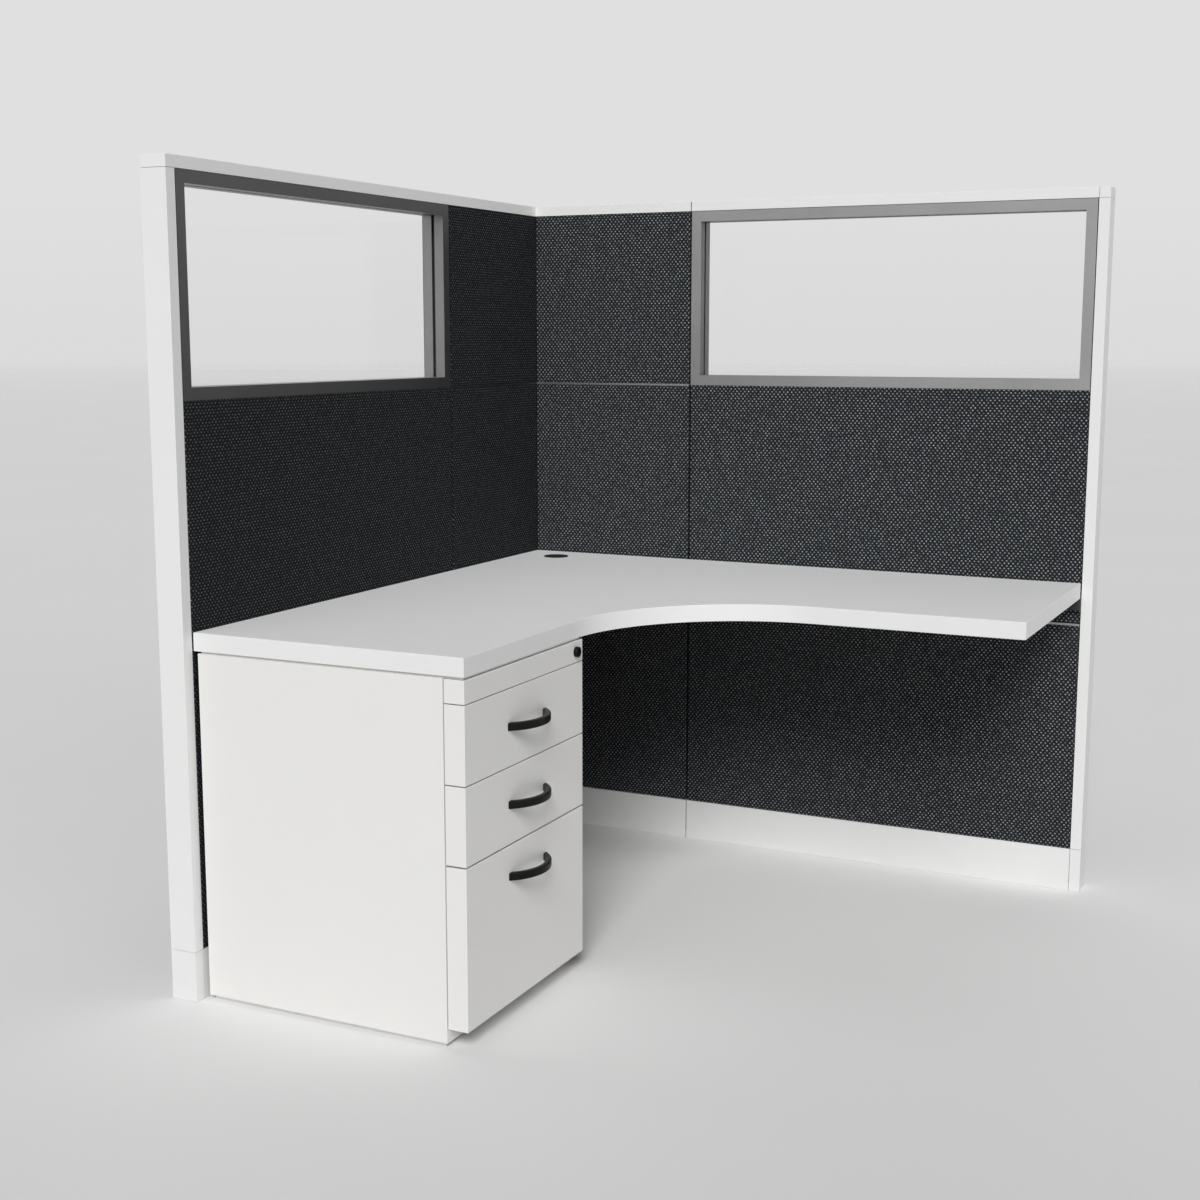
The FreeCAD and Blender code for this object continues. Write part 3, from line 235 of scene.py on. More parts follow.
def cell_values(tree, here, scale):
    """One value for each cell of a pattern of small cells."""
    cells = add_node(tree, "ShaderNodeTexVoronoi", {"Vector": here, "Scale": scale}, feature="F1")
    return add_node(tree, "ShaderNodeSeparateColor", {0: cells.outputs["Color"]}).outputs[0]


def zinc_finish():
    material, tree, shader = new_finish("zinc plate", Metallic=1.0)
    here = place_of(tree)
    dull_zinc, bright_zinc = rgb(0.56, 0.57, 0.58), rgb(0.67, 0.68, 0.7)
    grain = cell_values(tree, here, scale=160.0)
    bloom = full_range(tree, noise(tree, here, scale=45.0, detail=4.0, rough=0.6))
    mix = weighed(tree, grain, bloom, share=0.35)
    connect(tree, shader, Base_Color=blend_colours(tree, mix, dull_zinc, bright_zinc),
            Roughness=ramp(tree, mix, 0.0, 1.0, to_low=0.42, to_high=0.27))
    add_bump(tree, shader, grain, distance=0.00003)
    return material


zinc_plate = zinc_finish()
dress(zinc_plate, "panel_tie_bolts", "tile_clips", "worksurface_screws", "cabinet_slides",
      "top_drawer_middle_slides", "middle_drawer_middle_slides", "file_drawer_middle_slides",
      "top_drawer_runners", "middle_drawer_runners", "file_drawer_runners", "lock_bar")


# Tie bolts in full: hexagon bolts with rolled threads, a washer under the head and a hexagon nut, three to each
# joint between two panels, drawn up through the uprights.
def boxes_of(name):
    """The box of every solid in a CAD node, as pairs of corners."""
    copy = bmesh.new()
    copy.from_mesh(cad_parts[name].data)
    bmesh.ops.remove_doubles(copy, verts=copy.verts, dist=1e-6)
    found, seen = [], set()
    for start in copy.verts:
        if start in seen:
            continue
        island, edge = [], [start]
        seen.add(start)
        while edge:
            vertex = edge.pop()
            island.append(vertex.co.copy())
            for link in vertex.link_edges:
                other = link.other_vert(vertex)
                if other not in seen:
                    seen.add(other)
                    edge.append(other)
        found.append((Vector(min(p[i] for p in island) for i in range(3)),
                      Vector(max(p[i] for p in island) for i in range(3))))
    copy.free()
    return found


def new_maker(name, inputs):
    """An empty geometry tree that places what it makes at every point it is given."""
    tree = bpy.data.node_groups.new(name, "GeometryNodeTree")
    tree.interface.new_socket(name="Places", in_out="INPUT", socket_type="NodeSocketGeometry")
    kinds = {"size": "NodeSocketFloat", "count": "NodeSocketInt", "turn": "NodeSocketVector",
             "finish": "NodeSocketMaterial"}
    for label, kind, default in inputs:
        socket = tree.interface.new_socket(name=label, in_out="INPUT", socket_type=kinds[kind])
        if default is not None:
            socket.default_value = default
    tree.interface.new_socket(name="Pieces", in_out="OUTPUT", socket_type="NodeSocketGeometry")
    return tree, tree.nodes.new("NodeGroupInput").outputs, tree.nodes.new("NodeGroupOutput")


def plus(tree, a, b):
    return calc(tree, "ADD", a, b)


def minus(tree, a, b):
    return calc(tree, "SUBTRACT", a, b)


def times(tree, value, factor):
    return calc(tree, "MULTIPLY", value, factor)


def lift(tree, shape, height):
    """A shape moved up."""
    place = add_node(tree, "ShaderNodeCombineXYZ", {"Z": height}).outputs[0]
    return add_node(tree, "GeometryNodeTransform", {"Geometry": shape, "Translation": place}).outputs[0]


def turned(tree, radius, height, level, profile, sides=32, steps=8):
    """A closed turned shape standing on level. profile gives shares of the full radius at shares of its
    height, lowest first."""
    blank = add_node(tree, "GeometryNodeMeshCylinder",
                     {"Vertices": sides, "Side Segments": steps, "Radius": radius, "Depth": height}).outputs[0]
    axes = split(tree, add_node(tree, "GeometryNodeInputPosition").outputs[0])
    curve = tree.nodes.new("ShaderNodeFloatCurve")
    line = curve.mapping.curves[0]
    while len(line.points) < len(profile):
        line.points.new(0.5, 0.5)
    for point, place in zip(line.points, profile):
        point.location = place
        point.handle_type = "VECTOR"
    curve.mapping.update()
    connect(tree, curve, Value=plus(tree, calc(tree, "DIVIDE", axes["Z"], height), 0.5))
    share = curve.outputs[0]
    moved = add_node(tree, "ShaderNodeCombineXYZ", {
        "X": times(tree, axes["X"], share), "Y": times(tree, axes["Y"], share), "Z": axes["Z"]}).outputs[0]
    shape = add_node(tree, "GeometryNodeSetPosition", {"Geometry": blank, "Position": moved}).outputs[0]
    return lift(tree, shape, calc(tree, "MULTIPLY_ADD", height, 0.5, level))


def join_shapes(tree, *shapes):
    join = tree.nodes.new("GeometryNodeJoinGeometry")
    for shape in shapes:
        tree.links.new(shape, join.inputs[0])
    return join.outputs[0]


def threaded(tree, radius, pitch, low, high):
    """A shank with a rolled thread between two levels: a core with a ridge wound round it."""
    ridge_share, ridge_corners, corners_a_turn = 0.32, 4, 12
    core_profile = ((0.0, 0.9), (0.04, 1.0), (0.96, 1.0), (1.0, 0.9))
    ridge = times(tree, pitch, ridge_share)
    root = minus(tree, radius, ridge)
    length = minus(tree, high, low)
    core = turned(tree, root, length, low, core_profile, sides=20, steps=25)
    wound = minus(tree, length, pitch)
    spiral = add_node(tree, "GeometryNodeCurveSpiral", {
        "Resolution": corners_a_turn, "Rotations": calc(tree, "DIVIDE", wound, pitch),
        "Start Radius": root, "End Radius": root, "Height": wound}).outputs[0]
    across = add_node(tree, "GeometryNodeCurvePrimitiveCircle", {"Resolution": ridge_corners, "Radius": ridge},
                      mode="RADIUS").outputs["Curve"]
    thread = add_node(tree, "GeometryNodeCurveToMesh",
                      {"Curve": spiral, "Profile Curve": across, "Fill Caps": True}).outputs[0]
    return join_shapes(tree, core, lift(tree, thread, calc(tree, "MULTIPLY_ADD", pitch, 0.5, low)))


def set_out(tree, places, shape, finish, turn=None):
    """A shape put at every place, made real and given its finish."""
    copies = add_node(tree, "GeometryNodeInstanceOnPoints", {"Points": places, "Instance": shape})
    if turn is not None:
        connect(tree, copies, Rotation=turn)
    real = add_node(tree, "GeometryNodeRealizeInstances", {"Geometry": copies.outputs[0]}).outputs[0]
    return add_node(tree, "GeometryNodeSetMaterial", {"Geometry": real, "Material": finish}).outputs[0]


def make_pieces(name, tree, places, body, stands_for, slot, **inputs):
    """Runs a geometry tree over a list of places and keeps the result as a plain mesh that rides on body."""
    sharp_from = math.radians(35)
    points = bpy.data.meshes.new(name + "_places")
    points.from_pydata([tuple(p) for p in places], [], [])
    holder = bpy.data.objects.new(name + "_holder", points)
    bpy.context.scene.collection.objects.link(holder)
    modifier = holder.modifiers.new("maker", "NODES")
    modifier.node_group = tree
    for item in tree.interface.items_tree:
        label = item.name.replace(" ", "_")
        if item.in_out == "INPUT" and label in inputs:
            modifier[item.identifier] = inputs[label]
    holder.data.update()
    graph = bpy.context.evaluated_depsgraph_get()
    mesh = bpy.data.meshes.new_from_object(holder.evaluated_get(graph))
    bpy.data.objects.remove(holder)
    mesh.name = name
    mesh.materials.pop(index=0)  # the empty slot of the bare points
    mesh.shade_smooth()
    mesh.set_sharp_from_angle(angle=sharp_from)
    piece = bpy.data.objects.new(name, mesh)
    bpy.context.scene.collection.objects.link(piece)
    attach(piece, body)
    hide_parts(stands_for)


def bolt_tree():
    """A bolt along Z with its head at the bottom, a washer, a thread and a nut, centred on its place."""
    tree, given, out = new_maker("tie bolt", [
        ("Turn", "turn", (0.0, 0.0, 0.0)), ("Length", "size", 0.014), ("Shank Radius", "size", 0.003),
        ("Head Radius", "size", 0.0055), ("Head Height", "size", 0.005), ("Thread Pitch", "size", 0.0009),
        ("Finish", "finish", None)])
    washer_share, nut_share = 0.16, 0.6
    head_profile = ((0.0, 0.86), (0.14, 1.0), (1.0, 1.0))
    washer_profile = ((0.0, 0.96), (0.3, 1.0), (0.7, 1.0), (1.0, 0.96))
    nut_profile = ((0.0, 0.92), (0.12, 1.0), (0.88, 1.0), (1.0, 0.92))
    bottom, end = times(tree, given["Length"], -0.5), times(tree, given["Length"], 0.5)
    washer = times(tree, given["Head Height"], washer_share)
    block = minus(tree, given["Head Height"], washer)
    nut_low = minus(tree, end, given["Head Height"])
    head = turned(tree, given["Head Radius"], block, bottom, head_profile, sides=6)
    rings = [turned(tree, given["Head Radius"], washer, level, washer_profile, sides=28)
             for level in (plus(tree, bottom, block), nut_low)]
    nut = turned(tree, given["Head Radius"], times(tree, given["Head Height"], nut_share),
                 plus(tree, nut_low, washer), nut_profile, sides=6)
    shank = threaded(tree, given["Shank Radius"], given["Thread Pitch"],
                     plus(tree, bottom, given["Head Height"]), end)
    bolt = join_shapes(tree, head, *rings, nut, shank)
    tree.links.new(set_out(tree, given["Places"], bolt, given["Finish"], given["Turn"]), out.inputs[0])
    return tree


tie_bolt = bolt_tree()
for wall, axis, turn in (("back", 0, (0.0, math.pi / 2, 0.0)), ("left", 1, (-math.pi / 2, 0.0, 0.0))):
    boxes = [b for b in boxes_of("panel_tie_bolts") if (b[1] - b[0])[axis] > (b[1] - b[0])[1 - axis]]
    low, high = boxes[0]
    make_pieces(wall + "_tie_bolts", tie_bolt, [(a + b) / 2 for a, b in boxes], "structure", "panel_tie_bolts",
                "zinc_steel", Turn=turn, Length=(high - low)[axis], Shank_Radius=0.003,
                Head_Radius=(high - low)[2] / 2, Head_Height=0.005, Thread_Pitch=0.0009, Finish=zinc_plate)


# Fabric tiles: boards wrapped in charcoal cloth, which clip to the frames on both sides of each wall.
# The cloth is a fine dark weave with light grey slubs in staggered rows, each a little different.
def off_middle(group, chance, reach):
    """A place near the middle of a cell, moved by chance."""
    return calc(group, "MULTIPLY_ADD", chance, reach, 0.5 - reach / 2)


def from_spot(group, share, middle, pitch, size):
    """How far from a spot's middle a share of a cell lies, in spot sizes."""
    return calc(group, "DIVIDE", calc(group, "MULTIPLY", calc(group, "SUBTRACT", share, middle), pitch), size)


def cloth_effect():
    group, given, out = new_effect("spotted cloth", [
        ("Vector", "vector", None), ("Spot Pitch", "value", 0.0103), ("Row Pitch", "value", 0.0061),
        ("Spot Width", "value", 0.0046), ("Spot Height", "value", 0.004), ("Yarn", "value", 0.0017),
        ("Ground", "colour", grey(0.02)), ("Ground Tint", "colour", grey(0.03)),
        ("Spot", "colour", grey(0.4)), ("Spot Tint", "colour", grey(0.3))],
        [("Colour", "colour"), ("Roughness", "value"), ("Shine", "value"), ("Height", "value")])
    g = given.outputs
    sideways_reach, upward_reach = 0.14, 0.16
    core, rim = 0.22, 0.56
    faintest, strongest = 0.62, 0.95
    yarn_share, tint_share, spot_gloss, spot_rise, yarn_rise = 0.55, 0.35, -0.3, 0.7, 0.15

    axes = split(group, g["Vector"])
    run = calc(group, "ADD", axes["X"], axes["Y"])
    rise = calc(group, "ADD", axes["Z"], axes["Y"])
    row = calc(group, "DIVIDE", rise, g["Row Pitch"])
    row_number = calc(group, "FLOOR", row)
    stagger = calc(group, "MULTIPLY", calc(group, "FLOORED_MODULO", row_number, 2.0), 0.5)
    column = calc(group, "ADD", calc(group, "DIVIDE", run, g["Spot Pitch"]), stagger)
    column_number = calc(group, "FLOOR", column)
    cell = add_node(group, "ShaderNodeCombineXYZ", {0: column_number, 1: row_number}).outputs[0]
    dice = add_node(group, "ShaderNodeTexWhiteNoise", {"Vector": cell}, noise_dimensions="2D").outputs
    chances = add_node(group, "ShaderNodeSeparateColor", {0: dice["Color"]}).outputs
    across = from_spot(group, calc(group, "FRACT", column), off_middle(group, chances[1], sideways_reach),
                       g["Spot Pitch"], g["Spot Width"])
    up = from_spot(group, calc(group, "FRACT", row), off_middle(group, chances[2], upward_reach),
                   g["Row Pitch"], g["Spot Height"])
    away = calc(group, "SQRT", calc(group, "ADD", calc(group, "MULTIPLY", across, across),
                                    calc(group, "MULTIPLY", up, up)))
    spot = calc(group, "SUBTRACT", 1.0, ramp(group, away, core, rim))

    turns = calc(group, "DIVIDE", 2 * math.pi, g["Yarn"])
    weft = calc(group, "SINE", calc(group, "MULTIPLY", run, turns))
    warp = calc(group, "SINE", calc(group, "MULTIPLY", rise, turns))
    weave = calc(group, "MULTIPLY_ADD", calc(group, "MULTIPLY", weft, warp), 0.5, 0.5)
    fuzz = noise(group, g["Vector"], scale=420.0, detail=3.0, rough=0.6)
    slow = full_range(group, noise(group, g["Vector"], scale=26.0, detail=3.0, rough=0.6), low=0.25)
    shade = calc(group, "MULTIPLY", calc(group, "MULTIPLY_ADD", weave, yarn_share, 1.0 - yarn_share),
                 full_range(group, fuzz, low=0.2))
    ground = blend_colours(group, shade, g["Ground"], g["Ground Tint"])
    thread = blend_colours(group, calc(group, "SQRT", dice["Value"]), g["Spot Tint"], g["Spot"])
    thread = blend_colours(group, calc(group, "MULTIPLY", slow, tint_share), thread, g["Spot Tint"])
    strength = calc(group, "MULTIPLY", spot,
                    ramp(group, dice["Value"], 0.0, 1.0, faintest, strongest, "LINEAR"))
    rough = ramp(group, fuzz, 0.0, 1.0, to_low=0.82, to_high=0.96)
    yarn_height = calc(group, "MULTIPLY", calc(group, "ADD", weave, fuzz), yarn_rise)
    connect(group, out, Colour=blend_colours(group, strength, ground, thread), Shine=strength,
            Roughness=calc(group, "MULTIPLY_ADD", strength, spot_gloss, rough),
            Height=calc(group, "MULTIPLY_ADD", spot, spot_rise, yarn_height))
    return group


spotted_cloth = cloth_effect()


def shaded(colour, share):
    """A colour with all its parts multiplied."""
    return rgb(*(part * share for part in colour))


def cloth_finish(name, quarter_turns, ground, spot):
    """The cloth on one wall. Its rows run along the wall, so the left wall's is turned a quarter. ground and
    spot multiply the ground's and the slubs' colours as painted light and shade: the back wall's cloth is
    painted lighter for the light it gets, the left wall's darker for its shade."""
    material, tree, shader = new_finish(name, Specular_IOR_Level=0.05)
    here = place_of(tree, turn=(0.0, 0.0, quarter_turns * math.pi / 2))
    effect = add_effect(tree, spotted_cloth, Vector=here,
                        Ground=shaded((0.0092, 0.0104, 0.0116), ground),
                        Ground_Tint=shaded((0.0218, 0.0243, 0.027), ground),
                        Spot=shaded((0.37, 0.384, 0.396), spot),
                        Spot_Tint=shaded((0.165, 0.175, 0.184), spot))
    slub_shine = calc(tree, "MULTIPLY", effect.outputs["Shine"], 0.7)
    connect(tree, shader, Base_Color=effect.outputs["Colour"], Roughness=effect.outputs["Roughness"],
            Metallic=slub_shine)
    add_bump(tree, shader, effect.outputs["Height"], distance=0.0004, strength=0.6)
    return material


# Painted light and shade: one cloth in two copies, painted lighter on the back wall and darker on the left wall
# for the light each wall gets.
dress(cloth_finish("charcoal cloth on the back wall", quarter_turns=0, ground=1.3, spot=1.25),
      "back_corner_tiles", "back_main_tiles", "back_outer_tiles")
dress(cloth_finish("charcoal cloth on the left wall", quarter_turns=1, ground=0.85, spot=0.5),
      "left_corner_tiles", "left_main_tiles", "left_outer_tiles")


# Window frames: four mitred aluminium members on each face of the wall, satin anodised. Their greys are painted
# light and shade: on the back wall the face is painted lit and the reveal behind it shaded, on the left wall the
# face is painted shaded and the reveal lit. Fine draw lines run along every member.
def painted_light_aluminium(name, face, reveal, wall_axis, wall_middle, face_from):
    """face and reveal are greys of painted light and shade, each painted lighter or darker for the light that
    falls on that part. The reveal is all that lies nearer than face_from to the middle of the wall, along
    wall_axis."""
    material, tree, shader = new_finish(name, Metallic=1.0)
    seam_width, stretch = 0.001, 24.0
    here = place_of(tree)
    lines, cross = (noise(tree, place_of(tree, scale=scale), scale=60.0, detail=3.0, rough=0.6)
                    for scale in ((1.0, 1.0, stretch), (stretch, stretch, 1.0)))
    tone = calc(tree, "MULTIPLY", calc(tree, "ADD", lines, cross), 0.5)
    mix = weighed(tree, tone, noise(tree, here, scale=6.0, detail=3.0), share=0.6)
    depth = calc(tree, "ABSOLUTE", calc(tree, "SUBTRACT", split(tree, here)[wall_axis], wall_middle))
    on_face = ramp(tree, depth, face_from, face_from + seam_width)
    # painted light and shade: the face's and the reveal's greys
    metal = blend_colours(tree, on_face, grey(reveal), grey(face))
    streaks = blend_colours(tree, full_range(tree, mix, low=0.25), grey(0.8), grey(1.0))
    connect(tree, shader, Base_Color=blend_colours(tree, 1.0, metal, streaks, how="MULTIPLY"),
            Roughness=ramp(tree, tone, low=0.2, high=0.8, to_low=0.5, to_high=0.38))
    add_bump(tree, shader, tone, distance=0.00003)
    return material


def middle_of(box, axis):
    low, high = box
    return (low[axis] + high[axis]) / 2


back_middle = middle_of(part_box("back_window_frame"), axis=1)
left_middle = middle_of(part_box("left_window_frame"), axis=0)
frame_face_from = 0.0283
back_aluminium = painted_light_aluminium("grey anodised aluminium", face=0.39, reveal=0.2, wall_axis="Y",
                                 wall_middle=back_middle, face_from=frame_face_from)
dress(back_aluminium, "back_window_frame")
left_aluminium = painted_light_aluminium("dark anodised aluminium", face=0.122, reveal=0.34, wall_axis="X",
                                 wall_middle=left_middle, face_from=frame_face_from)
dress(left_aluminium, "left_window_frame")


# Joint strips: T-shaped extruded strips between the tiles, pressed on the rails. One aluminium for both walls,
# painted grey on the back wall and dark on the left wall as painted shade for the left wall's dimmer light.
left_wall_half = 0.0305
# The left wall's strips take the reveal's grey: painted shade.
strip_aluminium = painted_light_aluminium("joint strip aluminium", face=0.42, reveal=0.1, wall_axis="X",
                                  wall_middle=left_middle, face_from=left_wall_half)
dress(strip_aluminium, "tile_joint_strips")


# Panes and gaskets: 6 mm clear float glass in an extruded black rubber gasket, which is cut to length and
# clamped all round between the two window frames.
def mix_with_clear(tree, shader, share, tint=grey(1.0)):
    """Swaps a share of a finish for plain see-through."""
    clear = add_node(tree, "ShaderNodeBsdfTransparent", {"Color": tint}).outputs[0]
    both = add_node(tree, "ShaderNodeMixShader", {0: share, 1: shader.outputs[0], 2: clear}).outputs[0]
    connect(tree, tree.nodes["Material Output"], Surface=both)


def glass_finish():
    """Clear glass that lets light through to what is behind it, with a faint film of dust."""
    material, tree, shader = new_finish("clear glass", Transmission_Weight=1.0, IOR=1.12)
    clean, dusty, in_shadow = rgb(0.99, 0.992, 0.991), rgb(0.978, 0.98, 0.979), rgb(0.95, 0.955, 0.953)
    film = noise(tree, place_of(tree), scale=5.0, detail=5.0, rough=0.6)
    connect(tree, shader, Base_Color=blend_colours(tree, film, clean, dusty),
            Roughness=ramp(tree, film, low=0.3, high=0.8, to_high=0.004))
    rays = add_node(tree, "ShaderNodeLightPath").outputs
    passing = calc(tree, "MAXIMUM", rays["Is Shadow Ray"], rays["Is Diffuse Ray"])
    mix_with_clear(tree, shader, passing, in_shadow)
    return material


dress(glass_finish(), "window_glass")
rubber = coated("black rubber", colour=grey(0.012), drift_colour=rgb(0.02, 0.02, 0.019), roughness=0.65,
                drift_scale=12.0, texture_scale=1500.0)
dress(rubber, "window_gaskets")


# Caps, end trims, base covers and corner cover: folded sheet steel that snaps over the frames and closes the
# walls all round. Powder coated white, satin, with the coat's slight orange peel.
warm_white = coated("white powder coat", colour=rgb(0.795, 0.795, 0.793), drift_colour=rgb(0.782, 0.782, 0.779),
                    roughness=0.42, texture_scale=420.0, texture_depth=0.00006, dust=0.05, dust_reach=0.16)
dress(warm_white, "back_end_trim", "left_end_trim", "end_trim_bases", "corner_post_cover", "inner_base_covers",
      "outer_base_covers", "panel_top_caps", "trim_caps")


# Worksurface: a particle board core, coved where the two runs meet, with a white laminate sheet pressed on top,
# a paper backer below and a 2 mm edge band glued round it all.
def core_finish():
    """Pressed wood chips on the cut faces, and the brown backer paper on the underside."""
    material, tree, shader = new_finish("particle board", Specular_IOR_Level=0.3)
    here = place_of(tree)
    paper_thickness = 0.0003
    dark_chip, pale_chip = rgb(0.3, 0.21, 0.12), rgb(0.6, 0.48, 0.33)
    dark_paper, pale_paper = rgb(0.36, 0.33, 0.29), rgb(0.43, 0.4, 0.35)
    chips = cell_values(tree, here, scale=420.0)
    fibre = noise(tree, here, scale=900.0, detail=3.0, rough=0.7)
    wood = blend_colours(tree, weighed(tree, chips, fibre, share=0.6), dark_chip, pale_chip)
    blotches = full_range(tree, noise(tree, here, scale=30.0, detail=5.0, rough=0.7))
    paper = blend_colours(tree, blotches, dark_paper, pale_paper)
    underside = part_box("worksurface_core")[0][2] + paper_thickness
    is_wood = calc(tree, "GREATER_THAN", split(tree, here)["Z"], underside)
    connect(tree, shader, Base_Color=blend_colours(tree, is_wood, paper, wood),
            Roughness=ramp(tree, fibre, low=0.2, high=0.8, to_low=0.7, to_high=0.85))
    height = calc(tree, "ADD", fibre, calc(tree, "MULTIPLY", chips, is_wood))
    add_bump(tree, shader, height, distance=0.0002)
    return material


dress(core_finish(), "worksurface_core")
laminate = coated("white laminate", colour=rgb(0.868, 0.868, 0.866), drift_colour=rgb(0.855, 0.855, 0.853),
                  roughness=0.46, drift_scale=2.0, texture_scale=1400.0, texture_depth=0.00002,
                  roughness_drift=0.08)
dress(laminate, "worksurface_laminate")
white_edge = coated("white edge band", colour=rgb(0.797, 0.797, 0.795), drift_colour=rgb(0.785, 0.785, 0.783),
                    roughness=0.4, drift_scale=5.0, texture_scale=700.0, texture_depth=0.00002)
dress(white_edge, "worksurface_edge_band")


# Cable grommet: a moulded plastic sleeve that drops into a hole in the worksurface's back corner, with a
# notched cap that lifts out.
grommet_plastic = coated("grommet plastic", colour=grey(0.014), drift_colour=grey(0.02), roughness=0.42,
                         drift_scale=20.0, texture_scale=2400.0, texture_depth=0.00004,
                         Specular_IOR_Level=0.2)
dress(grommet_plastic, "grommet_sleeve", "grommet_cap")


# Brackets under the worksurface: folded steel arms, painted black, that hook into the slotted uprights, and a
# low one at the end.
bracket_paint = coated("bracket paint", colour=rgb(0.02, 0.02, 0.021), drift_colour=rgb(0.028, 0.028, 0.029),
                       roughness=0.5, drift_scale=8.0, texture_scale=500.0)
dress(bracket_paint, "worksurface_brackets")


# The screws in full: pan head wood screws with a cross recess, driven up through the bracket arms into the
# board.
def screw_tree():
    """A screw standing on its head, with its place under the middle of the head."""
    tree, given, out = new_maker("worksurface screw", [
        ("Head Radius", "size", 0.0045), ("Head Height", "size", 0.0022), ("Shank Radius", "size", 0.002),
        ("Length", "size", 0.0242), ("Thread Pitch", "size", 0.0018), ("Finish", "finish", None)])
    dome_profile = ((0.0, 0.55), (0.12, 0.72), (0.35, 0.9), (0.7, 1.0), (1.0, 1.0))
    wide_share, long_share, deep_share, less_deep_share = 0.2, 1.0, 1.0, 0.94
    head = turned(tree, given["Head Radius"], given["Head Height"], 0.0, dome_profile, sides=32, steps=12)
    for x_share, y_share, z_share in ((wide_share, long_share, deep_share),
                                      (long_share, wide_share, less_deep_share)):
        size = add_node(tree, "ShaderNodeCombineXYZ", {
            "X": times(tree, given["Head Radius"], x_share), "Y": times(tree, given["Head Radius"], y_share),
            "Z": times(tree, given["Head Height"], z_share)}).outputs[0]
        arm = add_node(tree, "GeometryNodeMeshCube", {"Size": size}).outputs[0]
        head = add_node(tree, "GeometryNodeMeshBoolean", {0: head, 1: arm}, operation="DIFFERENCE").outputs[0]
    shank = threaded(tree, given["Shank Radius"], given["Thread Pitch"], given["Head Height"], given["Length"])
    screw = join_shapes(tree, head, shank)
    tree.links.new(set_out(tree, given["Places"], screw, given["Finish"]), out.inputs[0])
    return tree


screws = boxes_of("worksurface_screws")
low, high = screws[0]
make_pieces("bracket_screws", screw_tree(), [((a.x + b.x) / 2, (a.y + b.y) / 2, a.z) for a, b in screws],
            "structure", "worksurface_screws", "zinc_steel", Head_Radius=(high - low).x / 2, Head_Height=0.0022,
            Shank_Radius=0.002, Length=(high - low).z, Thread_Pitch=0.0018, Finish=zinc_plate)


# Levelling glides: moulded black nylon feet on threaded stems, under the frames, the post and the case. The
# case's have longer stems.
black_nylon = coated("black nylon", colour=rgb(0.02, 0.02, 0.021), drift_colour=rgb(0.03, 0.03, 0.031),
                     roughness=0.5, drift_scale=25.0, texture_scale=1800.0, dust=0.5, dust_reach=0.02)
dress(black_nylon, "levelling_glides")


def glide_tree():
    """A glide on its place on the floor: a foot with grip ribs round it, a threaded stem and a locking nut."""
    tree, given, out = new_maker("levelling glide", [
        ("Foot Radius", "size", 0.018), ("Foot Height", "size", 0.008), ("Rib Count", "count", 18),
        ("Stem Radius", "size", 0.005), ("Top", "size", 0.031), ("Thread Pitch", "size", 0.0015),
        ("Nut Radius", "size", 0.009), ("Nut Level", "size", 0.01), ("Nut Height", "size", 0.005),
        ("Foot Finish", "finish", None), ("Stem Finish", "finish", None)])
    rib_share, rib_height_share, rib_level_share = 0.07, 0.5, 0.1
    foot_profile = ((0.0, 0.9), (0.1, 1.0), (0.6, 1.0), (0.72, 0.82), (1.0, 0.48))
    rib_profile = ((0.0, 0.5), (0.2, 1.0), (0.8, 1.0), (1.0, 0.5))
    nut_profile = ((0.0, 0.9), (0.15, 1.0), (0.85, 1.0), (1.0, 0.9))
    rib_radius = times(tree, given["Foot Radius"], rib_share)
    rim = minus(tree, given["Foot Radius"], rib_radius)
    foot = turned(tree, rim, given["Foot Height"], 0.0, foot_profile, sides=48, steps=20)
    rib = turned(tree, rib_radius, times(tree, given["Foot Height"], rib_height_share),
                 times(tree, given["Foot Height"], rib_level_share), rib_profile, sides=10, steps=5)
    round_rim = add_node(tree, "GeometryNodeMeshCircle", {"Vertices": given["Rib Count"], "Radius": rim})
    ribs = add_node(tree, "GeometryNodeInstanceOnPoints",
                    {"Points": round_rim.outputs[0], "Instance": rib}).outputs[0]
    foot = join_shapes(tree, foot, ribs)
    stem = threaded(tree, given["Stem Radius"], given["Thread Pitch"], given["Foot Height"], given["Top"])
    nut = turned(tree, given["Nut Radius"], given["Nut Height"], given["Nut Level"], nut_profile, sides=6)
    feet = set_out(tree, given["Places"], foot, given["Foot Finish"])
    stems = set_out(tree, given["Places"], join_shapes(tree, stem, nut), given["Stem Finish"])
    tree.links.new(join_shapes(tree, feet, stems), out.inputs[0])
    return tree


glide_maker = glide_tree()
wall_glide_top = 0.045
glide_boxes = boxes_of("levelling_glides")
for name, glides, sizes in (
        ("wall_glides", [b for b in glide_boxes if b[1].z <= wall_glide_top], {
            "Foot_Height": 0.008, "Stem_Radius": 0.005, "Thread_Pitch": 0.0015, "Nut_Radius": 0.009,
            "Nut_Level": 0.010}),
        ("pedestal_glides", [b for b in glide_boxes if b[1].z > wall_glide_top], {
            "Foot_Height": 0.007, "Stem_Radius": 0.004, "Thread_Pitch": 0.00125, "Nut_Radius": 0.0075,
            "Nut_Level": 0.035})):
    low, high = glides[0]
    make_pieces(name, glide_maker, [((a.x + b.x) / 2, (a.y + b.y) / 2, 0.0) for a, b in glides], "structure",
                "levelling_glides", "black_plastic", Foot_Radius=(high - low).x / 2, Rib_Count=18, Top=high.z,
                Nut_Height=0.005, Foot_Finish=black_nylon, Stem_Finish=zinc_plate, **sizes)


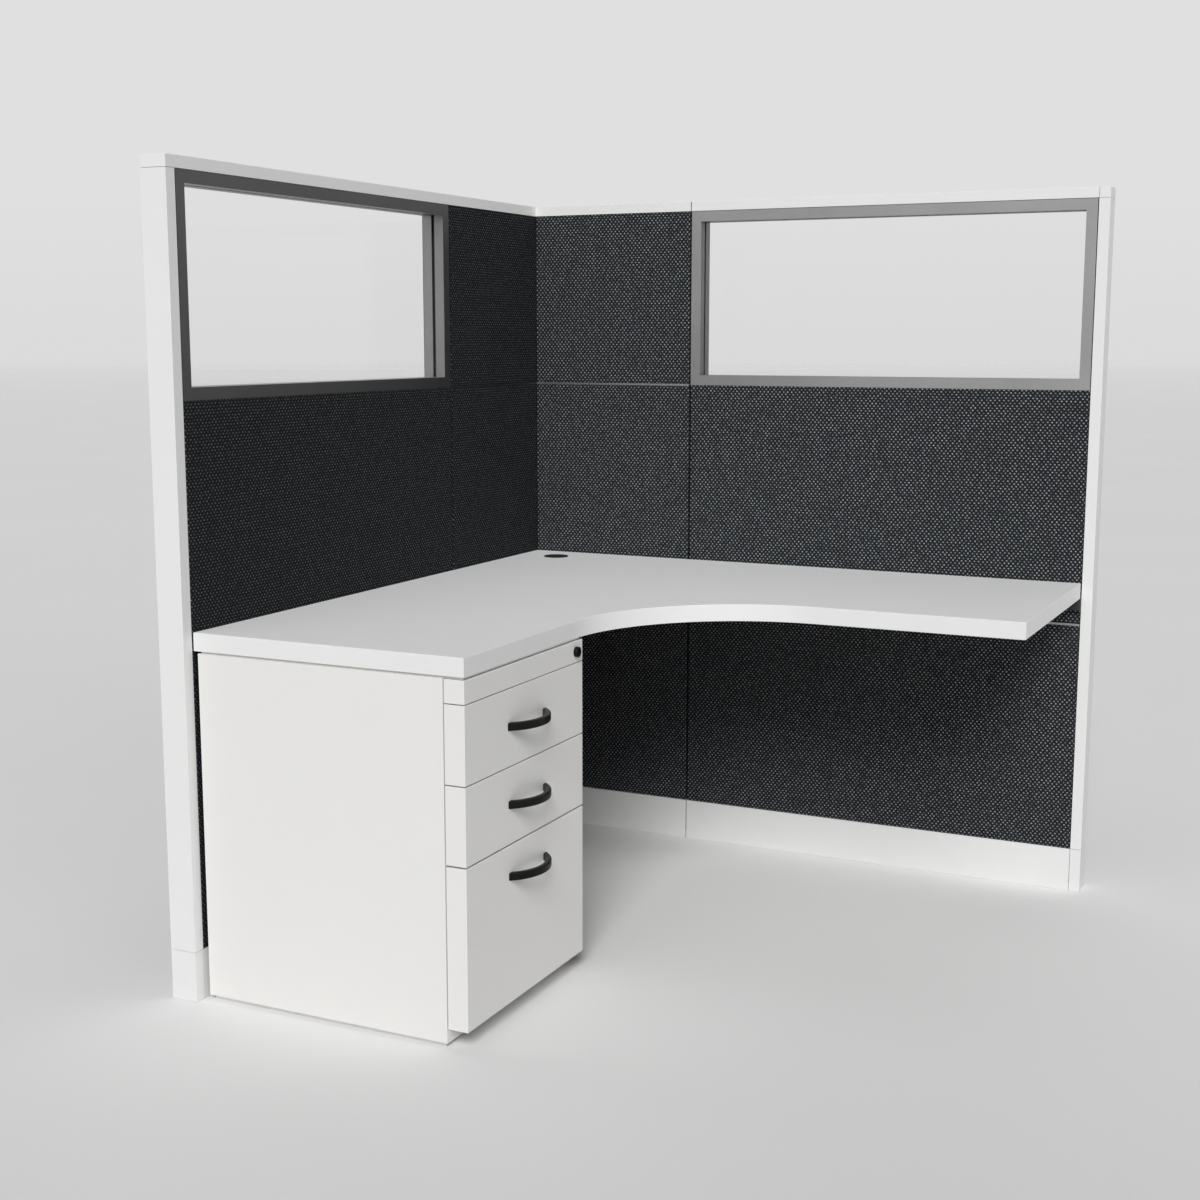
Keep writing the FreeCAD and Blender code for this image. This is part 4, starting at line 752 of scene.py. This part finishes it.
# Pedestal case and drawers: 18 mm boards faced in white melamine and banded on their edges, glued and dowelled.
# The drawer boxes are of thinner boards in a duller white.
white_board = coated("white melamine", colour=rgb(0.785, 0.778, 0.762), drift_colour=rgb(0.773, 0.766, 0.75),
                     roughness=0.44, drift_scale=2.5, texture_scale=800.0, texture_depth=0.00003, dust=0.04)
dress(white_board, "pedestal_near_side", "pedestal_far_side", "pedestal_back", "pedestal_top", "pedestal_base",
      "worksurface_spacers", "lock_rail", "top_drawer_front", "middle_drawer_front", "file_drawer_front")
box_board = coated("drawer box board", colour=rgb(0.7, 0.69, 0.67), drift_colour=rgb(0.66, 0.65, 0.63),
                   roughness=0.55, drift_scale=6.0, texture_scale=900.0)
dress(box_board, "top_drawer_box", "middle_drawer_box", "file_drawer_box")


# Handles: steel bars bent to an arc and coated satin black. Each is fixed with two bolts from inside its
# drawer front.
handle_black = coated("satin black", colour=grey(0.005), drift_colour=grey(0.008), roughness=0.36,
                      drift_scale=14.0, texture_scale=1300.0, texture_depth=0.00005, Specular_IOR_Level=0.12)
dress(handle_black, "top_drawer_handle", "middle_drawer_handle", "file_drawer_handle")


# Lock: a polished black barrel with a plug that the key turns. The barrel is pressed into the rail over the
# drawers, and the plug's crank moves the lock bar.
lock_black = coated("polished black", colour=grey(0.005), drift_colour=grey(0.009), roughness=0.2,
                    drift_scale=60.0, texture_scale=2600.0, texture_depth=0.00002, Specular_IOR_Level=0.15)
dress(lock_black, "lock_barrel", "lock_core")


# Floor and backdrop: one pale matt sheet, greyed round a spot in front of the pedestal by a painted shadow, that
# fades into an even pale distance.
def floor_finish():
    material, tree, shader = new_finish("studio floor", Specular_IOR_Level=0.2)
    here = place_of(tree)
    painted_shadow_centre, painted_shadow_within, pale_beyond = (0.2, -1.6, 0.0), 0.7, 2.0
    fade_from, fade_to = 12.0, 108.0
    tone = full_range(tree, noise(tree, here, scale=0.6, detail=3.0))
    # painted shadow: the sheet is greyer within a reach of a spot in front of the pedestal
    from_painted_shadow = add_node(tree, "ShaderNodeVectorMath", {0: here, 1: painted_shadow_centre}, operation="DISTANCE")
    pale = ramp(tree, from_painted_shadow.outputs["Value"], painted_shadow_within, pale_beyond)
    sheet = blend_colours(tree, pale, grey(0.78), grey(0.838))
    drift = blend_colours(tree, tone, grey(0.984), grey(1.0))
    connect(tree, shader, Base_Color=blend_colours(tree, 1.0, sheet, drift, how="MULTIPLY"),
            Roughness=ramp(tree, tone, 0.0, 1.0, to_low=0.77, to_high=0.79))
    distance = add_node(tree, "ShaderNodeVectorMath", {0: here}, operation="LENGTH").outputs["Value"]
    mix_with_clear(tree, shader, ramp(tree, distance, fade_from, fade_to))
    return material


bpy.ops.mesh.primitive_circle_add(vertices=96, radius=120.0, fill_type="NGON")
floor = bpy.context.object
floor.name = "studio_floor"
floor.data.materials.append(floor_finish())


# Light: a pale surround that is seen but gives no light, a broad soft key high in front of the open side, and
# four weak fills.
horizon_level, upper_level, horizon_band = 0.712, 0.745, 0.08
world = bpy.data.worlds.new("pale surround")
bpy.context.scene.world = world
world.use_nodes = True
sky = world.node_tree
looks = add_node(sky, "ShaderNodeLightPath").outputs
seen = calc(sky, "MAXIMUM", looks["Is Camera Ray"],
            calc(sky, "MAXIMUM", looks["Is Glossy Ray"], looks["Is Transmission Ray"]))
steepness = split(sky, add_node(sky, "ShaderNodeTexCoord").outputs["Generated"])["Z"]
pale = ramp(sky, steepness, 0.0, horizon_band, horizon_level, upper_level, "LINEAR")
backdrop = add_node(sky, "ShaderNodeBackground", {"Color": pale, "Strength": 1.0})
ambient = add_node(sky, "ShaderNodeBackground", {"Color": grey(1.0), "Strength": 0.0})
mixed = add_node(sky, "ShaderNodeMixShader", {0: seen, 1: ambient.outputs[0], 2: backdrop.outputs[0]})
connect(sky, sky.nodes["World Output"], Surface=mixed.outputs[0])


def soft_sun(name, height, bearing, strength, width):
    """A distant lamp. height and bearing are degrees above the floor and round from -Y towards +X. strength is
    what it adds to a white sheet square to it, and width is in degrees. It lights through the panes but isn't
    seen in them."""
    data = bpy.data.lights.new(name, "SUN")
    data.energy = strength * math.pi
    data.angle = math.radians(width)
    up, round_to = math.radians(height), math.radians(bearing)
    towards = Vector((math.cos(up) * math.sin(round_to), -math.cos(up) * math.cos(round_to), math.sin(up)))
    lamp = bpy.data.objects.new(name, data)
    lamp.rotation_euler = towards.to_track_quat("Z", "Y").to_euler()
    lamp.visible_transmission = False
    bpy.context.scene.collection.objects.link(lamp)
    return lamp


soft_sun("key", height=39, bearing=23, strength=0.83, width=26)
soft_sun("right_fill", height=25, bearing=60, strength=0.12, width=40)
soft_sun("left_fill", height=58, bearing=-25, strength=0.063, width=40)
soft_sun("rear_fill", height=58, bearing=180, strength=0.09, width=40)
corner_fill = soft_sun("corner_fill", height=7, bearing=225, strength=0.22, width=30)
corner_fill.visible_glossy = False


# Camera: at the picture's place and angle, on the open side of the workstation. It is 1.3 m above the floor
# and looks down a little.
camera_at = Vector((1.4159, -3.3079, 1.3154))
yaw, pitch, roll = (math.radians(a) for a in (25.694, 8.856, 0.031))
camera_data = bpy.data.cameras.new("camera")
camera_data.sensor_width = 36.0
camera_data.lens = 50.69
camera = bpy.data.objects.new("camera", camera_data)
forward = Vector((-math.sin(yaw) * math.cos(pitch), math.cos(yaw) * math.cos(pitch), -math.sin(pitch)))
level = Vector((math.cos(yaw), math.sin(yaw), 0.0))
upward = level.cross(forward)
side = level * math.cos(roll) + upward * math.sin(roll)
top = upward * math.cos(roll) - level * math.sin(roll)
facing = Matrix((side, top, -forward)).transposed().to_4x4()
camera.matrix_world = Matrix.Translation(camera_at) @ facing
bpy.context.scene.collection.objects.link(camera)
bpy.context.scene.camera = camera
bpy.context.scene.view_settings.view_transform = "Standard"
